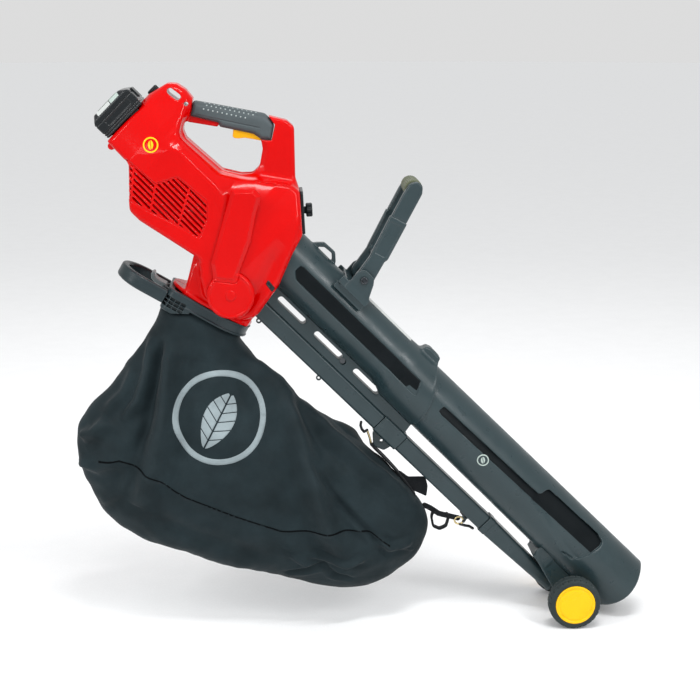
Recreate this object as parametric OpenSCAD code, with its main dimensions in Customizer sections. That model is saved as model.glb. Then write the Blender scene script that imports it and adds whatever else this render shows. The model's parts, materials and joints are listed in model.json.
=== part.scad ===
// Cordless hand-held garden blower and vacuum with a collection bag.
// Millimetres. It is drawn lying along X in the machine's own frame, with the nozzle towards +X
// and the suction tube's axis near z = 0, then tilted into the pose in which it is held.
// The origin of the finished model is the middle of the rear hand grip.

/* [Pose] */
// Angle of the tubes below the horizontal, in degrees
tilt = 45; // [35:1:55]

/* [Housing] */
// Wall of the moulded casings
wall = 3; // [2:0.5:4]
// Half the width of the handle loop
loop_half_w = 19; // [16:0.5:24]
// Half the width of the outlet pipe
outlet_half_w = 49; // [44:1:52]
// Radius of the grip's core
grip_core_r = 12; // [10:0.5:14]
// Outer radius of the soft grip
grip_r = 17; // [16:0.5:20]

/* [Fan] */
// Height of the motor's axis above the tube's axis
fan_z = -8; // [-12:1:-4]
// Radius of the fan wheel
fan_r = 58; // [50:1:59]
// Number of fan blades
fan_blades = 9; // [6:1:12]
// Radius of the motor can
motor_r = 27; // [24:0.5:28]
// Radius of the motor shaft
shaft_r = 4; // [3:0.5:5]

/* [Tubes] */
// Outer radius of the upper suction tube
upper_r = 46; // [42:1:48]
// Outer radius of the lower suction tube where it enters the collar
lower_r = 50; // [48:0.5:51]
// Outer radius of the lower suction tube at its mouth
mouth_r = 54; // [52:0.5:56]
// Outer radius of the slim blow tube
blow_r = 14.5; // [13:0.5:16]
// Height of the blow tube's axis below the suction tube's axis
blow_drop = 84; // [82:0.5:86]

/* [Front handle] */
// Angle of the front handle from the tube's axis, in degrees
handle_angle = 107; // [95:1:115]
// Distance from the pivot to the cross bar
handle_len = 160; // [140:5:175]
// Half the distance between the outer faces of the arms
handle_half_w = 49; // [46:0.5:50]

/* [Wheels] */
// Outer radius of the tyre
wheel_r = 43.5; // [36:0.5:44]
// Width of the tyre
wheel_w = 28; // [22:1:30]
// Half the distance between the wheels' inner faces
track_half = 63; // [62:0.5:68]
// Radius of the axle
axle_r = 4; // [3:0.5:5]

/* [Bag] */
// Half the length of the bag's oval mouth ring
ring_half_l = 73; // [68:1:78]
// Half the width of the bag's mouth ring
ring_half_w = 54; // [52:1:60]
// Angle of the mouth ring from the tube's axis, in degrees
ring_angle = 15; // [10:1:20]

/* [Hidden] */
$fn = 64;
gap = 0.3;          // play left between pieces that move past each other
fit = 0.05;         // radial running clearance of a shaft in its bore
half_space = 400;   // side of the block that keeps one half of the housing

red = [0.86, 0.03, 0.05];
slate = [0.24, 0.28, 0.30];
dark = [0.10, 0.12, 0.13];
rubber = [0.30, 0.33, 0.32];
yellow = [0.98, 0.78, 0.06];
steel = [0.70, 0.71, 0.73];
cloth = [0.10, 0.14, 0.15];

// Middle of the rear grip, and the direction in which the grip rises towards the nozzle
grip_mid = [-410, 96];
grip_slope = 33;
// Stations of the soft grip's two ends, and how far below its axis the loop is cut away for it
grip_x = [-52, 70];
grip_under = 18.5;

// Side outline of the wide casing round motor, fan and duct
casing_outline = [[-515, -56], [-515, 24], [-500, 30], [-440, 32], [-356, 36], [-318, 58],
    [-262, 98], [-246, 99], [-195, 53], [-186, 21], [-166, -30], [-156, -92], [-172, -116],
    [-205, -127], [-240, -124], [-264, -108], [-286, -86], [-394, -108], [-416, -108],
    [-432, -93], [-468, -56]];
// Half width of the casing along its length, as points of x and half width
casing_plan = [[-516, 46], [-470, 62], [-440, 66], [-310, 68], [-225, 70], [-190, 66], [-150, 60]];
// Side outline of the loop that carries the rear grip
loop_outline = [[-515, 10], [-515, 40], [-507, 71], [-498, 79], [-484, 82], [-466, 80],
    [-372, 143], [-356, 152], [-338, 163], [-322, 164], [-256, 100], [-250, 60], [-300, 20],
    [-440, 10]];
// Outline of the opening for the hand
hand_opening = [[-451, 50], [-444, 38], [-431, 32], [-356, 36], [-330, 52], [-317, 66],
    [-318, 82], [-333, 104], [-344, 112], [-352, 112]];
// Side outline of the outlet pipe, which ends on the bag ring's plane
outlet_top = [[-283, -76], [-160, -80]];
// Middle of the outlet's end
ring_mid = [-216.5, -134.5];
outlet_half_l = 66;
// Radius of the mouth ring's two squarer corners
ring_corner_r = 16;

// Sloping plate in front of the casing that carries the star knob: its middle, and its normal's slope
plate_mid = [-220.5, 76];
plate_slope = 48;

// Mode selector
selector_at = [-212, -92];
selector_r = 38;

// Volute round the fan, and the radius of its eye
volute_x = [-300, -238];
volute_r = 65;
eye_r = 36;

// Tube stations
upper_z = 6;
lower_x = 84;
collar_r = 52;
neck_r = 47.5;
mouth_at = [580, 5];
mouth_reach = 64;
slot_x = [[-147, -87], [-64, -2], [26, 84]];
slot_z = -50;
slot_r = 5.2;

// Front handle pivot and clevis
pivot_at = [-75, 71];

// Wheels
axle_at = [560, -66];

// The bag's sections in the tilted model's own axes: left x, left z, right x, right z, half width
bag_sections = [
    [-103, -303, 22, -362, 46], [-124, -325, 35, -381, 54], [-159, -390, 60, -411, 62],
    [-201, -436, 88, -439, 72], [-237, -479, 138, -477, 84], [-253, -531, 210, -531, 93],
    [-247, -576, 258, -574, 97], [-229, -628, 303, -621, 97], [-173, -678, 331, -671, 92],
    [-101, -711, 329, -706, 84], [-14, -745, 307, -739, 70], [89, -773, 279, -766, 50],
    [169, -793, 234, -789, 24]];
bag_sides = 24;

// Rear loop, trigger and dial
cord_hole_at = [-467.5, 71];
cord_hole_r = 3.2;
trigger_pivot = [20, -4];
dial_z = 48;

// The battery's neck and its release button, each as its lowest and highest corner
battery_neck = [[-515.5, -35.7, -43.7], [-470, 35.7, 13.7]];
button_box = [[-546, -13, 20], [-528, 13, 26]];

// Motor bearings along X
bearing_x = [[-418, -411], [-347, -340]];
bearing_r = 9;

// How far the first column of vents runs on round the rear corner, row by row
vent_lead = [2, 8, 16, 26, 34, 36, 32, 26, 20];

// Screws that close the housing: x, z and the half width of the casing there.
screw_places = [[-497, -51, 52], [-482, 22, 58], [-414, -97, 66], [-318, 42, 67], [-258, 84, 69],
    [-181, -53, 64], [-330, 146, 19]];
pillar_r = 5;
screw_r = 2.4;
screw_head_r = 4.3;

// Side outline of one arm of the front handle
arm_outline = [[0, -15], [40, -16], [44, -19], [112, -19], [150, -18], [168, -16], [177, -10],
    [180, -2], [177, 6], [168, 10], [112, 11], [44, 9], [40, 7], [0, 11]];

// Eyes under the blow tube that the bag's straps clip to, and the straps' ends on the bag.
upper_eye = [147, -105];
lower_eye = [346, -100];
hook_r = 7.5;
wire_r = 1.3;
strap_t = 1.6;
// A strap's run: its eye, the direction from the eye in degrees below the horizontal towards -X,
// and the length of the webbing.
strap_runs = [[upper_eye, 72, 9], [lower_eye, 26, 46]];

// ---------- helpers ----------

// Puts children drawn in the machine's frame into the pose, with the grip's middle at the origin.
module posed() {
    rotate([0, tilt, 0])
        translate([-grip_mid[0], 0, -grip_mid[1]])
            children();
}

// Extrudes a side outline across the machine, to a half width each side.
module across(half_w) {
    rotate([90, 0, 0])
        linear_extrude(2 * half_w, center = true)
            children();
}

// A cylinder along X from one station to another.
module rod_x(x, r, z = 0, y = 0) {
    translate([x[0], y, z])
        rotate([0, 90, 0])
            cylinder(h = x[1] - x[0], r = r);
}

// A cone along X.
module cone_x(x, r, z = 0) {
    translate([x[0], 0, z])
        rotate([0, 90, 0])
            cylinder(h = x[1] - x[0], r1 = r[0], r2 = r[1]);
}

// A cylinder along Y, centred at a point of x and z, from one y to another.
module rod_y(at, r, y) {
    translate([at[0], y[0], at[1]])
        rotate([-90, 0, 0])
            cylinder(h = y[1] - y[0], r = r);
}

// A box given by its lowest and highest corners.
module block(lo, hi) {
    translate(lo)
        cube(hi - lo);
}

// A slot outline with round ends, centred.
module obround(half_l, half_w) {
    for (s = [-1, 1])
        translate([s * (half_l - half_w), 0])
            circle(half_w);
    square([2 * (half_l - half_w), 2 * half_w], center = true);
}

// A flat slot outline between two stations, at one height.
module slot_outline(x, z, r) {
    translate([(x[0] + x[1]) / 2, z])
        obround((x[1] - x[0]) / 2, r);
}

// Moves every edge of an outline inwards by d. The outline runs clockwise.
function unit(v) = v / norm(v);
function left_of(v) = [-v[1], v[0]];
function moved(p, i, d) =
    let (
        n = len(p),
        e0 = unit(p[i] - p[(i + n - 1) % n]),
        e1 = unit(p[(i + 1) % n] - p[i]),
        m = left_of(e0) + left_of(e1)
    )
    p[i] - m * d / (1 + e0 * e1);
function inset(p, d) = [for (i = [0:len(p) - 1]) moved(p, i, d)];

// Half width plan of the casing as a closed outline.
function mirrored(p) = concat(p, [for (i = [len(p) - 1:-1:0]) [p[i][0], -p[i][1]]]);

// The grip's own frame: x along the grip, z up from it, origin at its middle.
module at_grip() {
    translate([grip_mid[0], 0, grip_mid[1]])
        rotate([0, -grip_slope, 0])
            children();
}

// The bag ring's own frame: x along its length, z up the outlet.
module at_ring() {
    translate([ring_mid[0], 0, ring_mid[1]])
        rotate([0, -ring_angle, 0])
            children();
}

// The front handle's own frame: x along the arms, origin on the pivot.
module at_pivot() {
    translate([pivot_at[0], 0, pivot_at[1]])
        rotate([0, -handle_angle, 0])
            children();
}

// ---------- housing ----------

module casing_block(d) {
    intersection() {
        across(90)
            polygon(inset(casing_outline, d));
        translate([0, 0, -200])
            linear_extrude(400)
                polygon(inset(mirrored(casing_plan), d));
    }
}

// The outlet pipe inset by d, run on past the bag ring's plane by a drop.
module outlet_block(d, drop = 0) {
    along = [cos(ring_angle), sin(ring_angle)];
    end = ring_mid - drop * left_of(along);
    across(outlet_half_w - d)
        polygon([
            outlet_top[0] + [d, 0],
            outlet_top[1] - [d, 0],
            end + (outlet_half_l - d) * along,
            end - (outlet_half_l - d) * along]);
}

// Vent slots in three columns, cut through both side walls.
module vent_slots() {
    for (row = [0:8])
        for (col = [0:2])
            let (lead = col == 0 ? vent_lead[row] : 0)
                translate([-418 + row * 1.5 + col * 37 - lead, -80, -20 - row * 6.6])
                    cube([32 + lead, 160, 3.4]);
}

module housing_solid() {
    casing_block(0);
    outlet_block(0);
    difference() {
        across(loop_half_w)
            polygon(loop_outline);
        across(60)
            polygon(hand_opening);
    }
}

module housing_hollow() {
    casing_block(wall);
    outlet_block(wall, 1);
    // hollow of the loop behind and in front of the hand opening
    across(loop_half_w - wall)
        polygon([[-496, 20], [-496, 56], [-484, 56], [-462, 44], [-455, 34], [-450, 20]]);
    across(loop_half_w - wall)
        polygon([[-343, 126], [-336, 154], [-325, 158], [-266, 101], [-276, 76], [-296, 66],
            [-310, 70], [-312, 86], [-328, 108]]);
}

module housing_cuts() {
    // seat of the suction tube
    rod_x([-236, -100], upper_r + gap, upper_z);
    // seat of the blow tube
    rod_x([-175, -100], blow_r * 1.42, -blow_drop);
    // opening for the battery's neck
    block([-530, -36, -44], [-500, 36, 14]);
    // hanging slot and cord hole
    across(60)
        translate([-491.5, 68.5])
            rotate(8)
                obround(12, 5);
    rod_y(cord_hole_at, cord_hole_r, [-60, 60]);
    // slot of the trigger and pocket of its switch in the grip's core
    at_grip() {
        block([16, -8.5, -30], [66, 8.5, 2]);
        block([26, -6, 1], [50, 6, 9]);
        rod_y(trigger_pivot, 2 + fit, [-40, 40]);
    }
    // seat of the speed dial
    rod_x([-540, -507.5], 10.5, dial_z);
    rod_x([-508, -497.5], 3 + fit, dial_z);
    vent_slots();
    // bores of the selector's shaft
    rod_y(selector_at, 6 + fit, [-80, 80]);
    // bore of the star knob's screw
    at_plate()
        rod_x([-30, 1], 3 + fit);
}

// Frame of the sloping front plate: x out of the plate, origin in its middle.
module at_plate() {
    translate([plate_mid[0], 0, plate_mid[1]])
        rotate([0, -plate_slope, 0])
            children();
}

module pillars() {
    for (s = screw_places)
        rod_y([s[0], s[1]], pillar_r, [-s[2] + 0.5, s[2] - 0.5]);
}

module screw_bores() {
    for (s = screw_places) {
        rod_y([s[0], s[1]], screw_r + fit, [-16, s[2] + 20]);
        rod_y([s[0], s[1]], screw_head_r + gap, [s[2] - 4, s[2] + 20]);
    }
}

module housing_shell() {
    difference() {
        union() {
            difference() {
                housing_solid();
                at_grip()
                    block([grip_x[0], -30, -grip_under], [grip_x[1], 30, 30]);
                housing_hollow();
            }
            at_grip()
                rod_x(grip_x + [-4, 6], grip_core_r);
            pillars();
        }
        housing_cuts();
        screw_bores();
    }
}

module left_housing() {
    color(red)
        posed()
            intersection() {
                housing_shell();
                block([-600, -half_space, -half_space], [0, 0, half_space]);
            }
}

module right_housing() {
    color(red)
        posed()
            intersection() {
                housing_shell();
                block([-600, 0, -half_space], [0, half_space, half_space]);
            }
}

module housing_screws() {
    color(steel)
        posed()
            for (s = screw_places) {
                rod_y([s[0], s[1]], screw_r, [-15, s[2] - 4]);
                rod_y([s[0], s[1]], screw_head_r, [s[2] - 4, s[2] - 1]);
            }
}

module handle_grip() {
    color(rubber)
        posed()
            at_grip()
                difference() {
                    rod_x(grip_x + [0.5, -0.5], grip_r);
                    rod_x(grip_x, grip_core_r);
                    block([16, -8.5, -30], [66, 8.5, 2]);
                }
}

// ---------- trigger, dial and battery ----------

module trigger() {
    color(yellow)
        posed()
            at_grip()
                difference() {
                    across(7.5)
                        polygon([[16.5, -8], [18, 0], [24, 0], [34, -7], [58, -7], [62, -14],
                            [63.5, -23], [44, -25.5], [24, -27.5], [19, -27], [17.5, -20]]);
                    rod_y(trigger_pivot, 2 + fit, [-10, 10]);
                }
}

module trigger_pin() {
    color(steel)
        posed()
            at_grip()
                rod_y(trigger_pivot, 2, [-9.8, 9.8]);
}

module trigger_switch() {
    color(dark)
        posed()
            at_grip()
                block([26.3, -5.7, 2.6], [49.7, 5.7, 8.7]);
}

module speed_dial() {
    color(dark)
        posed() {
            difference() {
                rod_x([-528, -508], 9.5, dial_z);
                for (a = [0:30:330])
                    translate([-529, 9.9 * cos(a), dial_z + 9.9 * sin(a)])
                        rotate([0, 90, 0])
                            cylinder(h = 10, r = 1.2, $fn = 16);
            }
            rod_x([-508, -498], 3, dial_z);
        }
}

module battery_pack() {
    color(dark)
        posed()
            difference() {
                union() {
                    intersection() {
                        across(42)
                            polygon([[-557, -42], [-557, 14], [-546, 26], [-515.5, 26], [-515.5, -53],
                                [-546, -53]]);
                        translate([0, 0, -60])
                            linear_extrude(100)
                                polygon([[-557, -34], [-549, -42], [-515.5, -42], [-515.5, 42],
                                    [-549, 42], [-557, 34]]);
                    }
                    block(battery_neck[0], battery_neck[1]);
                }
                block(button_box[0] - [gap, gap, 0], button_box[1] + [gap, gap, 9]);
                // slots for the contact blades
                for (y = [-18, -6, 6, 18])
                    block([-484, y - 1.5, -36], [-469, y + 1.5, 6]);
            }
}

module battery_button() {
    color(dark)
        posed()
            block(button_box[0] + [0, 0, 2.5], button_box[1] + [0, 0, 2.5]);
}

module battery_terminal() {
    color(dark)
        posed() {
            block([-468, -30, -38], [-462, 30, 8]);
            for (y = [-18, -6, 6, 18])
                block([-483, y - 0.8, -30], [-468, y + 0.8, 0]);
        }
}

module control_board() {
    color("darkgreen")
        posed() {
            block([-420, -42, -86], [-350, 42, -84]);
            block([-414, -34, -84], [-384, 34, -70]);
            block([-376, -30, -84], [-358, -6, -74]);
            block([-376, 6, -84], [-358, 30, -74]);
        }
}

// ---------- motor and fan ----------

module motor_case() {
    color(steel)
        posed()
            difference() {
                rod_x([-420, -340], motor_r, fan_z);
                rod_x([-416, -344], motor_r - 3, fan_z);
                for (x = bearing_x)
                    rod_x([x[0] - 0.01, x[1] + 0.01], bearing_r, fan_z);
                rod_x([-430, -330], shaft_r + 1, fan_z);
            }
}

module motor_stator() {
    color("chocolate")
        posed()
            difference() {
                rod_x([-404, -356], motor_r - 3, fan_z);
                rod_x([-405, -355], 15.6, fan_z);
                for (a = [0:40:320])
                    translate([-405, 0, fan_z])
                        rotate([a, 0, 0])
                            translate([0, -1.5, 15])
                                cube([50, 3, 6]);
            }
}

module motor_bearings() {
    color(steel)
        posed()
            for (x = bearing_x)
                difference() {
                    rod_x(x, bearing_r, fan_z);
                    rod_x([x[0] - 1, x[1] + 1], shaft_r + fit, fan_z);
                }
}

module motor_rotor() {
    color(steel)
        posed() {
            rod_x([-424, -246], shaft_r, fan_z);
            rod_x([-402, -358], 15, fan_z);
        }
}

module motor_mount() {
    color(dark)
        posed()
            difference() {
                intersection() {
                    rod_x([-339.7, -335.7], 58, fan_z);
                    block([-345, -80, -80], [-330, 80, 28]);
                }
                rod_x([-345, -330], 12, fan_z);
                for (a = [20:40:340])
                    if (a < 30 || a > 150)
                        translate([-345, 42 * sin(a), fan_z - 42 * cos(a)])
                            rotate([0, 90, 0])
                                cylinder(h = 15, r = 9);
            }
}

module volute() {
    color(dark)
        posed() {
            difference() {
                rod_x(volute_x, volute_r, fan_z);
                rod_x([volute_x[0] + 3, volute_x[1] - 3], volute_r - 3, fan_z);
                rod_x([volute_x[1] - 4, volute_x[1] + 1], eye_r, fan_z);
                rod_x([volute_x[0] - 1, volute_x[0] + 4], shaft_r + 4, fan_z);
                block([volute_x[0] + 3, -34, -100], [volute_x[1] - 3, 34, fan_z - 40]);
            }
            // posts back to the motor mount
            for (a = [0, 110, 250])
                rod_x([-335.6, volute_x[0]], 4, fan_z - 52 * cos(a), 52 * sin(a));
        }
}

module fan_wheel() {
    color(steel)
        posed()
            difference() {
                union() {
                    rod_x([-293, -290], fan_r, fan_z);
                    rod_x([-290, -254], 13, fan_z);
                    for (i = [0:fan_blades - 1])
                        translate([-290, 0, fan_z])
                            rotate([i * 360 / fan_blades, 0, 0])
                                translate([0, -1.2, 10])
                                    cube([38, 2.4, fan_r - 11]);
                }
                rod_x([-300, -240], shaft_r + fit, fan_z);
            }
}

module fan_nut() {
    color(steel)
        posed()
            difference() {
                translate([-253.9, 0, fan_z])
                    rotate([0, 90, 0])
                        cylinder(h = 6, r = 8, $fn = 6);
                rod_x([-260, -240], shaft_r + fit, fan_z);
            }
}

// ---------- mode selector ----------

module selector_lever() {
    color(red)
        posed()
            difference() {
                union() {
                    rod_y(selector_at, selector_r, [-80, -71]);
                    translate([0, -75, 0])
                        across(4)
                            polygon([[-331, 24], [-326, 38], [-314, 49], [-296, 54], [-284, 47],
                                [-247, -8], [-222, -62], [-226, -80], [-256, -92], [-262, -86]]);
                }
                rod_y(selector_at, 6, [-77, -60]);
            }
}

module selector_washer() {
    color(dark)
        posed()
            difference() {
                rod_y(selector_at, 12, [-70.9, -70.1]);
                rod_y(selector_at, 6 + fit, [-80, -60]);
            }
}

module selector_shaft() {
    color(steel)
        posed()
            rod_y(selector_at, 6, [-77, 68]);
}

module selector_flap() {
    color(dark)
        posed()
            difference() {
                translate([selector_at[0], 0, selector_at[1]])
                    rotate([0, -60, 0])
                        union() {
                            block([6, -44, -2], [38, 44, 2]);
                            rod_y([0, 0], 9, [-44, 44]);
                        }
                rod_y(selector_at, 6, [-60, 60]);
            }
}

// ---------- suction tube ----------

module tube_flange() {
    color(dark)
        posed()
            at_plate()
                difference() {
                    block([0.1, -34, -35], [5, 34, 34]);
                    rod_x([-1, 6], 3 + fit);
                }
}

module star_knob() {
    color(dark)
        posed()
            at_plate() {
                rod_x([-14, 8], 3);
                rod_x([5.3, 9], 6);
                difference() {
                    rod_x([8, 19], 12);
                    for (a = [0:60:300])
                        translate([7, 14 * cos(a), 14 * sin(a)])
                            rotate([0, 90, 0])
                                cylinder(h = 13, r = 4);
                }
            }
}

// A band of a round tube's skin, inside a side outline.
module skin_band(r, depth, z = 0) {
    intersection() {
        difference() {
            rod_x([-300, 700], r + 10, z);
            rod_x([-301, 701], r - depth, z);
        }
        children();
    }
}

// Everything past the collar's sloping end, moved on by d.
module beyond_collar(d) {
    translate([144.5 + d, 0, 2])
        rotate([0, -17.7, 0])
            block([0, -90, -400], [700, 90, 400]);
}

module upper_tube() {
    color(slate)
        posed()
            difference() {
                union() {
                    rod_x([-232, 70], upper_r, upper_z);
                    cone_x([60, 104], [46, collar_r], 3);
                    rod_x([102, 170], collar_r, 1);
                    // strap loop on top
                    block([-170, -5, 48], [-119, 5, 64]);
                    // screw pad on top of the collar
                    block([80, -14, 50], [130, 14, 60]);
                }
                rod_x([-233, 72], upper_r - wall, upper_z);
                rod_x([70, 171], neck_r + gap, 1);
                // sloping end of the collar
                beyond_collar(0);
                across(10)
                    slot_outline([-162, -127], 58, 3);
                // sunk bands along both sides
                skin_band(upper_r, 2, upper_z)
                    across(60)
                        polygon([[-163, -5], [-163, 17], [44, 17], [52, -5]]);
                translate([104, 0, 40])
                    cylinder(h = 30, r = 2.6);
            }
}

module tube_web() {
    color(slate)
        posed()
            difference() {
                union() {
                    block([-168, -6, -70], [160, 6, -30]);
                    rod_y([1.6, -52], 7, [-9, 9]);
                }
                across(20)
                    polygon(inset(casing_outline, -gap));
                rod_x([-233, 110], upper_r + 0.02, upper_z);
                block([-180, -30, -120], [110, 30, -blow_drop + blow_r + 0.02]);
                block([109, -30, -120], [180, 30, -blow_drop + blow_r + 2.02]);
                cone_x([60, 104], [46.02, collar_r + 0.02], 3);
                rod_x([101.9, 170], collar_r + 0.02, 1);
                for (x = slot_x)
                    across(20)
                        slot_outline(x, slot_z, slot_r);
                rod_y([1.6, -52], 2.6, [-20, 20]);
            }
}

// Rounded square section of the blow tube, with a half side.
module blow_section(h) {
    for (y = [-1, 1], z = [-1, 1])
        translate([y * (h - 5), z * (h - 5)])
            circle(5);
    square([2 * h, 2 * h - 10], center = true);
    square([2 * h - 10, 2 * h], center = true);
}

// A length of blow tube between two stations.
module blow_run(x, h) {
    translate([x[0], 0, -blow_drop])
        rotate([90, 0, 90])
            linear_extrude(x[1] - x[0])
                blow_section(h);
}

module blow_tube_upper() {
    color(slate)
        posed()
            difference() {
                union() {
                    blow_run([-172, 110], blow_r);
                    for (x = [-141, -4])
                        rod_y([x, -blow_drop - blow_r - 3], 4.5, [-3, 3]);
                }
                blow_run([-173, 111], blow_r - 2.5);
                for (x = [-141, -4])
                    rod_y([x, -blow_drop - blow_r - 4], 2, [-5, 5]);
            }
}

module blow_sleeve() {
    color(slate)
        posed()
            difference() {
                union() {
                    blow_run([110.1, 168], blow_r + 2);
                    across(4)
                        polygon([[112, -90], [166, -90], [160, -108], [148, -113], [134, -112]]);
                }
                blow_run([110, 169], blow_r - 2.5);
                rod_y(upper_eye, 2.6, [-9, 9]);
            }
}

module blow_tube_lower() {
    color(slate)
        posed()
            difference() {
                union() {
                    blow_run([168.1, 372], blow_r);
                    rod_y(lower_eye, 5.5, [-3, 3]);
                }
                blow_run([168, 373], blow_r - 2.5);
                rod_y(lower_eye - [0, 1], 2.6, [-5, 5]);
            }
}

module nozzle_form(d) {
    hull() {
        blow_run([390, 392], blow_r + 1 - d, $fn = 32);
        translate([538, 0, -blow_drop + 1])
            rotate([90, 0, 90])
                linear_extrude(2)
                    scale([1, 0.62])
                        circle(17 - d, $fn = 32);
    }
}

module blow_nozzle() {
    color(slate)
        posed()
            difference() {
                union() {
                    blow_run([372.1, 391], blow_r + 1);
                    nozzle_form(0);
                }
                blow_run([372, 391], blow_r - 2);
                nozzle_form(2.5);
                blow_run([389, 391], blow_r - 2);
                translate([538, 0, -blow_drop + 1])
                    rotate([90, 0, 90])
                        linear_extrude(5)
                            scale([1, 0.62])
                                circle(14.5, $fn = 32);
            }
}

// Side outline of the suction tube with its rounded end, to cut the mouth.
module mouth_outline() {
    polygon(concat([[80, -70], [80, 70], [mouth_at[0], 70]],
        [for (a = [90:-7.5:-90]) mouth_at + [mouth_reach * cos(a), (mouth_r + 3) * sin(a)]],
        [[mouth_at[0], -70]]));
}

module lower_tube() {
    color(slate)
        posed()
            difference() {
                union() {
                    rod_x([lower_x, 150], neck_r, 1);
                    intersection() {
                        cone_x([100, 660], [lower_r, mouth_r + 0.6]);
                        across(80)
                            mouth_outline();
                        beyond_collar(0.4);
                    }
                }
                cone_x([99, 661], [lower_r - wall - 3, mouth_r - wall + 0.6]);
                rod_x([lower_x - 1, 100], neck_r - wall, 1);
                // sunk panels along both sides
                intersection() {
                    difference() {
                        rod_x([160, 600], 70);
                        cone_x([100, 660], [lower_r - 1.6, mouth_r - 1]);
                    }
                    across(80)
                        polygon([[176, 2], [176, 12], [395, 30], [534, 27], [540, 16], [520, -14],
                            [500, -22], [420, -10]]);
                }
            }
}

module tube_screws() {
    color(steel)
        posed() {
            translate([104, 0, 51])
                cylinder(h = 9, r = 2.5);
            translate([104, 0, 60.1])
                cylinder(h = 3, r = 6);
            rod_y([1.6, -52], 2.5, [-9, 9]);
            rod_y([1.6, -52], 4.6, [-12, -9.1]);
        }
}

module tube_label() {
    color("gainsboro")
        posed()
            difference() {
                intersection() {
                    rod_x([-40, 58], upper_r + 0.6, upper_z);
                    block([-40, -13, 30], [58, 13, 60]);
                }
                rod_x([-41, 59], upper_r + 0.05, upper_z);
            }
}

// ---------- front handle ----------

module handle_bracket() {
    color(slate)
        posed()
            difference() {
                union() {
                    block([-104, -54.5, 30], [-44, 54.5, 58]);
                    for (y = [-1, 1])
                        hull() {
                            rod_y(pivot_at, 15, [y * 52.3 - 2.2, y * 52.3 + 2.2], $fn = 32);
                            translate([-74, y * 52.3, 40])
                                cube([58, 4.4, 4], center = true);
                        }
                }
                rod_x([-120, -20], upper_r, upper_z);
                block([-120, -49.8, 54.5], [-20, 49.8, 90]);
                block([-120, -49.8, 40], [-100, 49.8, 90]);
                rod_y(pivot_at, 5 + fit, [-70, 70]);
            }
}

module front_handle() {
    color(slate)
        posed()
            at_pivot()
                difference() {
                    union() {
                        for (y = [-1, 1])
                            translate([0, y * (handle_half_w - 7), 0])
                                across(7) {
                                    circle(15);
                                    polygon(arm_outline);
                                }
                        rod_y([handle_len + 4, -3], 10, [-handle_half_w + 13.9, handle_half_w - 13.9]);
                        rod_y([40, -2], 6, [-handle_half_w + 13.9, handle_half_w - 13.9]);
                    }
                    rod_y([0, 0], 5 + fit, [-70, 70]);
                }
}

module front_grip() {
    color(rubber)
        posed()
            at_pivot()
                difference() {
                    rod_y([handle_len + 4, -3], 14.5, [-handle_half_w + 14.1, handle_half_w - 14.1]);
                    rod_y([handle_len + 4, -3], 10, [-60, 60]);
                }
}

module handle_bolt() {
    color(steel)
        posed() {
            rod_y(pivot_at, 5, [-55, 55]);
            rod_y(pivot_at, 9, [-58.5, -55]);
            rod_y(pivot_at, 9, [55, 58.5]);
        }
}

// ---------- wheels ----------

module wheel_bracket() {
    color(slate)
        posed()
            difference() {
                union() {
                    for (y = [-1, 1])
                        translate([0, y * 27, 0])
                            across(4)
                                polygon([[466, -38], [466, -60], [486, -77], [512, -84],
                                    [548, -84], [574, -72], [574, -58], [560, -38]]);
                    block([470, -31, -68], [506, 31, -38]);
                    rod_y(axle_at, 10, [-58, 58]);
                }
                cone_x([100, 660], [lower_r + 0.02, mouth_r + 0.62]);
                rod_y(axle_at, axle_r + fit, [-90, 90]);
                block([380, -18, -110], [560, 18, -66.6]);
            }
}

module wheel_axle() {
    color(steel)
        posed()
            rod_y(axle_at, axle_r, [-track_half - wheel_w + 2, track_half + wheel_w - 2]);
}

// One wheel's parts, drawn for the right side with y running outwards.
module wheel_rim() {
    rotate([-90, 0, 0])
        rotate_extrude()
            polygon([[axle_r + fit, 0], [9, 0], [9, 8], [24, 8], [24, 1], [30, 1], [30, wheel_w - 1],
                [26, wheel_w - 1], [26, 14], [9, 14], [9, 21], [axle_r + fit, 21]]);
}

module wheel_tyre() {
    rotate([-90, 0, 0])
        rotate_extrude()
            polygon([[30, 0], [wheel_r - 4, 0], [wheel_r - 1, 2], [wheel_r, 6],
                [wheel_r, wheel_w - 6], [wheel_r - 1, wheel_w - 2], [wheel_r - 4, wheel_w],
                [30, wheel_w]]);
}

module wheel_cap() {
    rotate([-90, 0, 0])
        rotate_extrude()
            polygon([[0, 26.5], [24, 25.5], [24, 24], [25.7, 24], [25.7, 27], [22, 29.5], [0, 30.5]]);
}

module at_wheel(side) {
    translate([axle_at[0], side * track_half, axle_at[1]])
        rotate([0, 0, side > 0 ? 0 : 180])
            children();
}

module left_wheel() { color(yellow) posed() at_wheel(-1) wheel_rim(); }
module left_tyre() { color(dark) posed() at_wheel(-1) wheel_tyre(); }
module left_cap() { color(yellow) posed() at_wheel(-1) wheel_cap(); }
module right_wheel() { color(yellow) posed() at_wheel(1) wheel_rim(); }
module right_tyre() { color(dark) posed() at_wheel(1) wheel_tyre(); }
module right_cap() { color(yellow) posed() at_wheel(1) wheel_cap(); }

// ---------- bag ----------

// The mouth ring's outline inset by d: round at the front, squarer on the side of the loop.
module ring_outline(d = 0) {
    obround(ring_half_l - d, ring_half_w - d);
    translate([ring_corner_r - ring_half_l, d - ring_half_w])
        square([ring_half_l - 20 - ring_corner_r, 2 * (ring_half_w - d)]);
    translate([d - ring_half_l, ring_corner_r - ring_half_w])
        square([ring_half_l - 20, 2 * (ring_half_w - ring_corner_r)]);
    for (y = [-1, 1])
        translate([ring_corner_r - ring_half_l, y * (ring_half_w - ring_corner_r)])
            circle(ring_corner_r - d);
}

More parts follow.
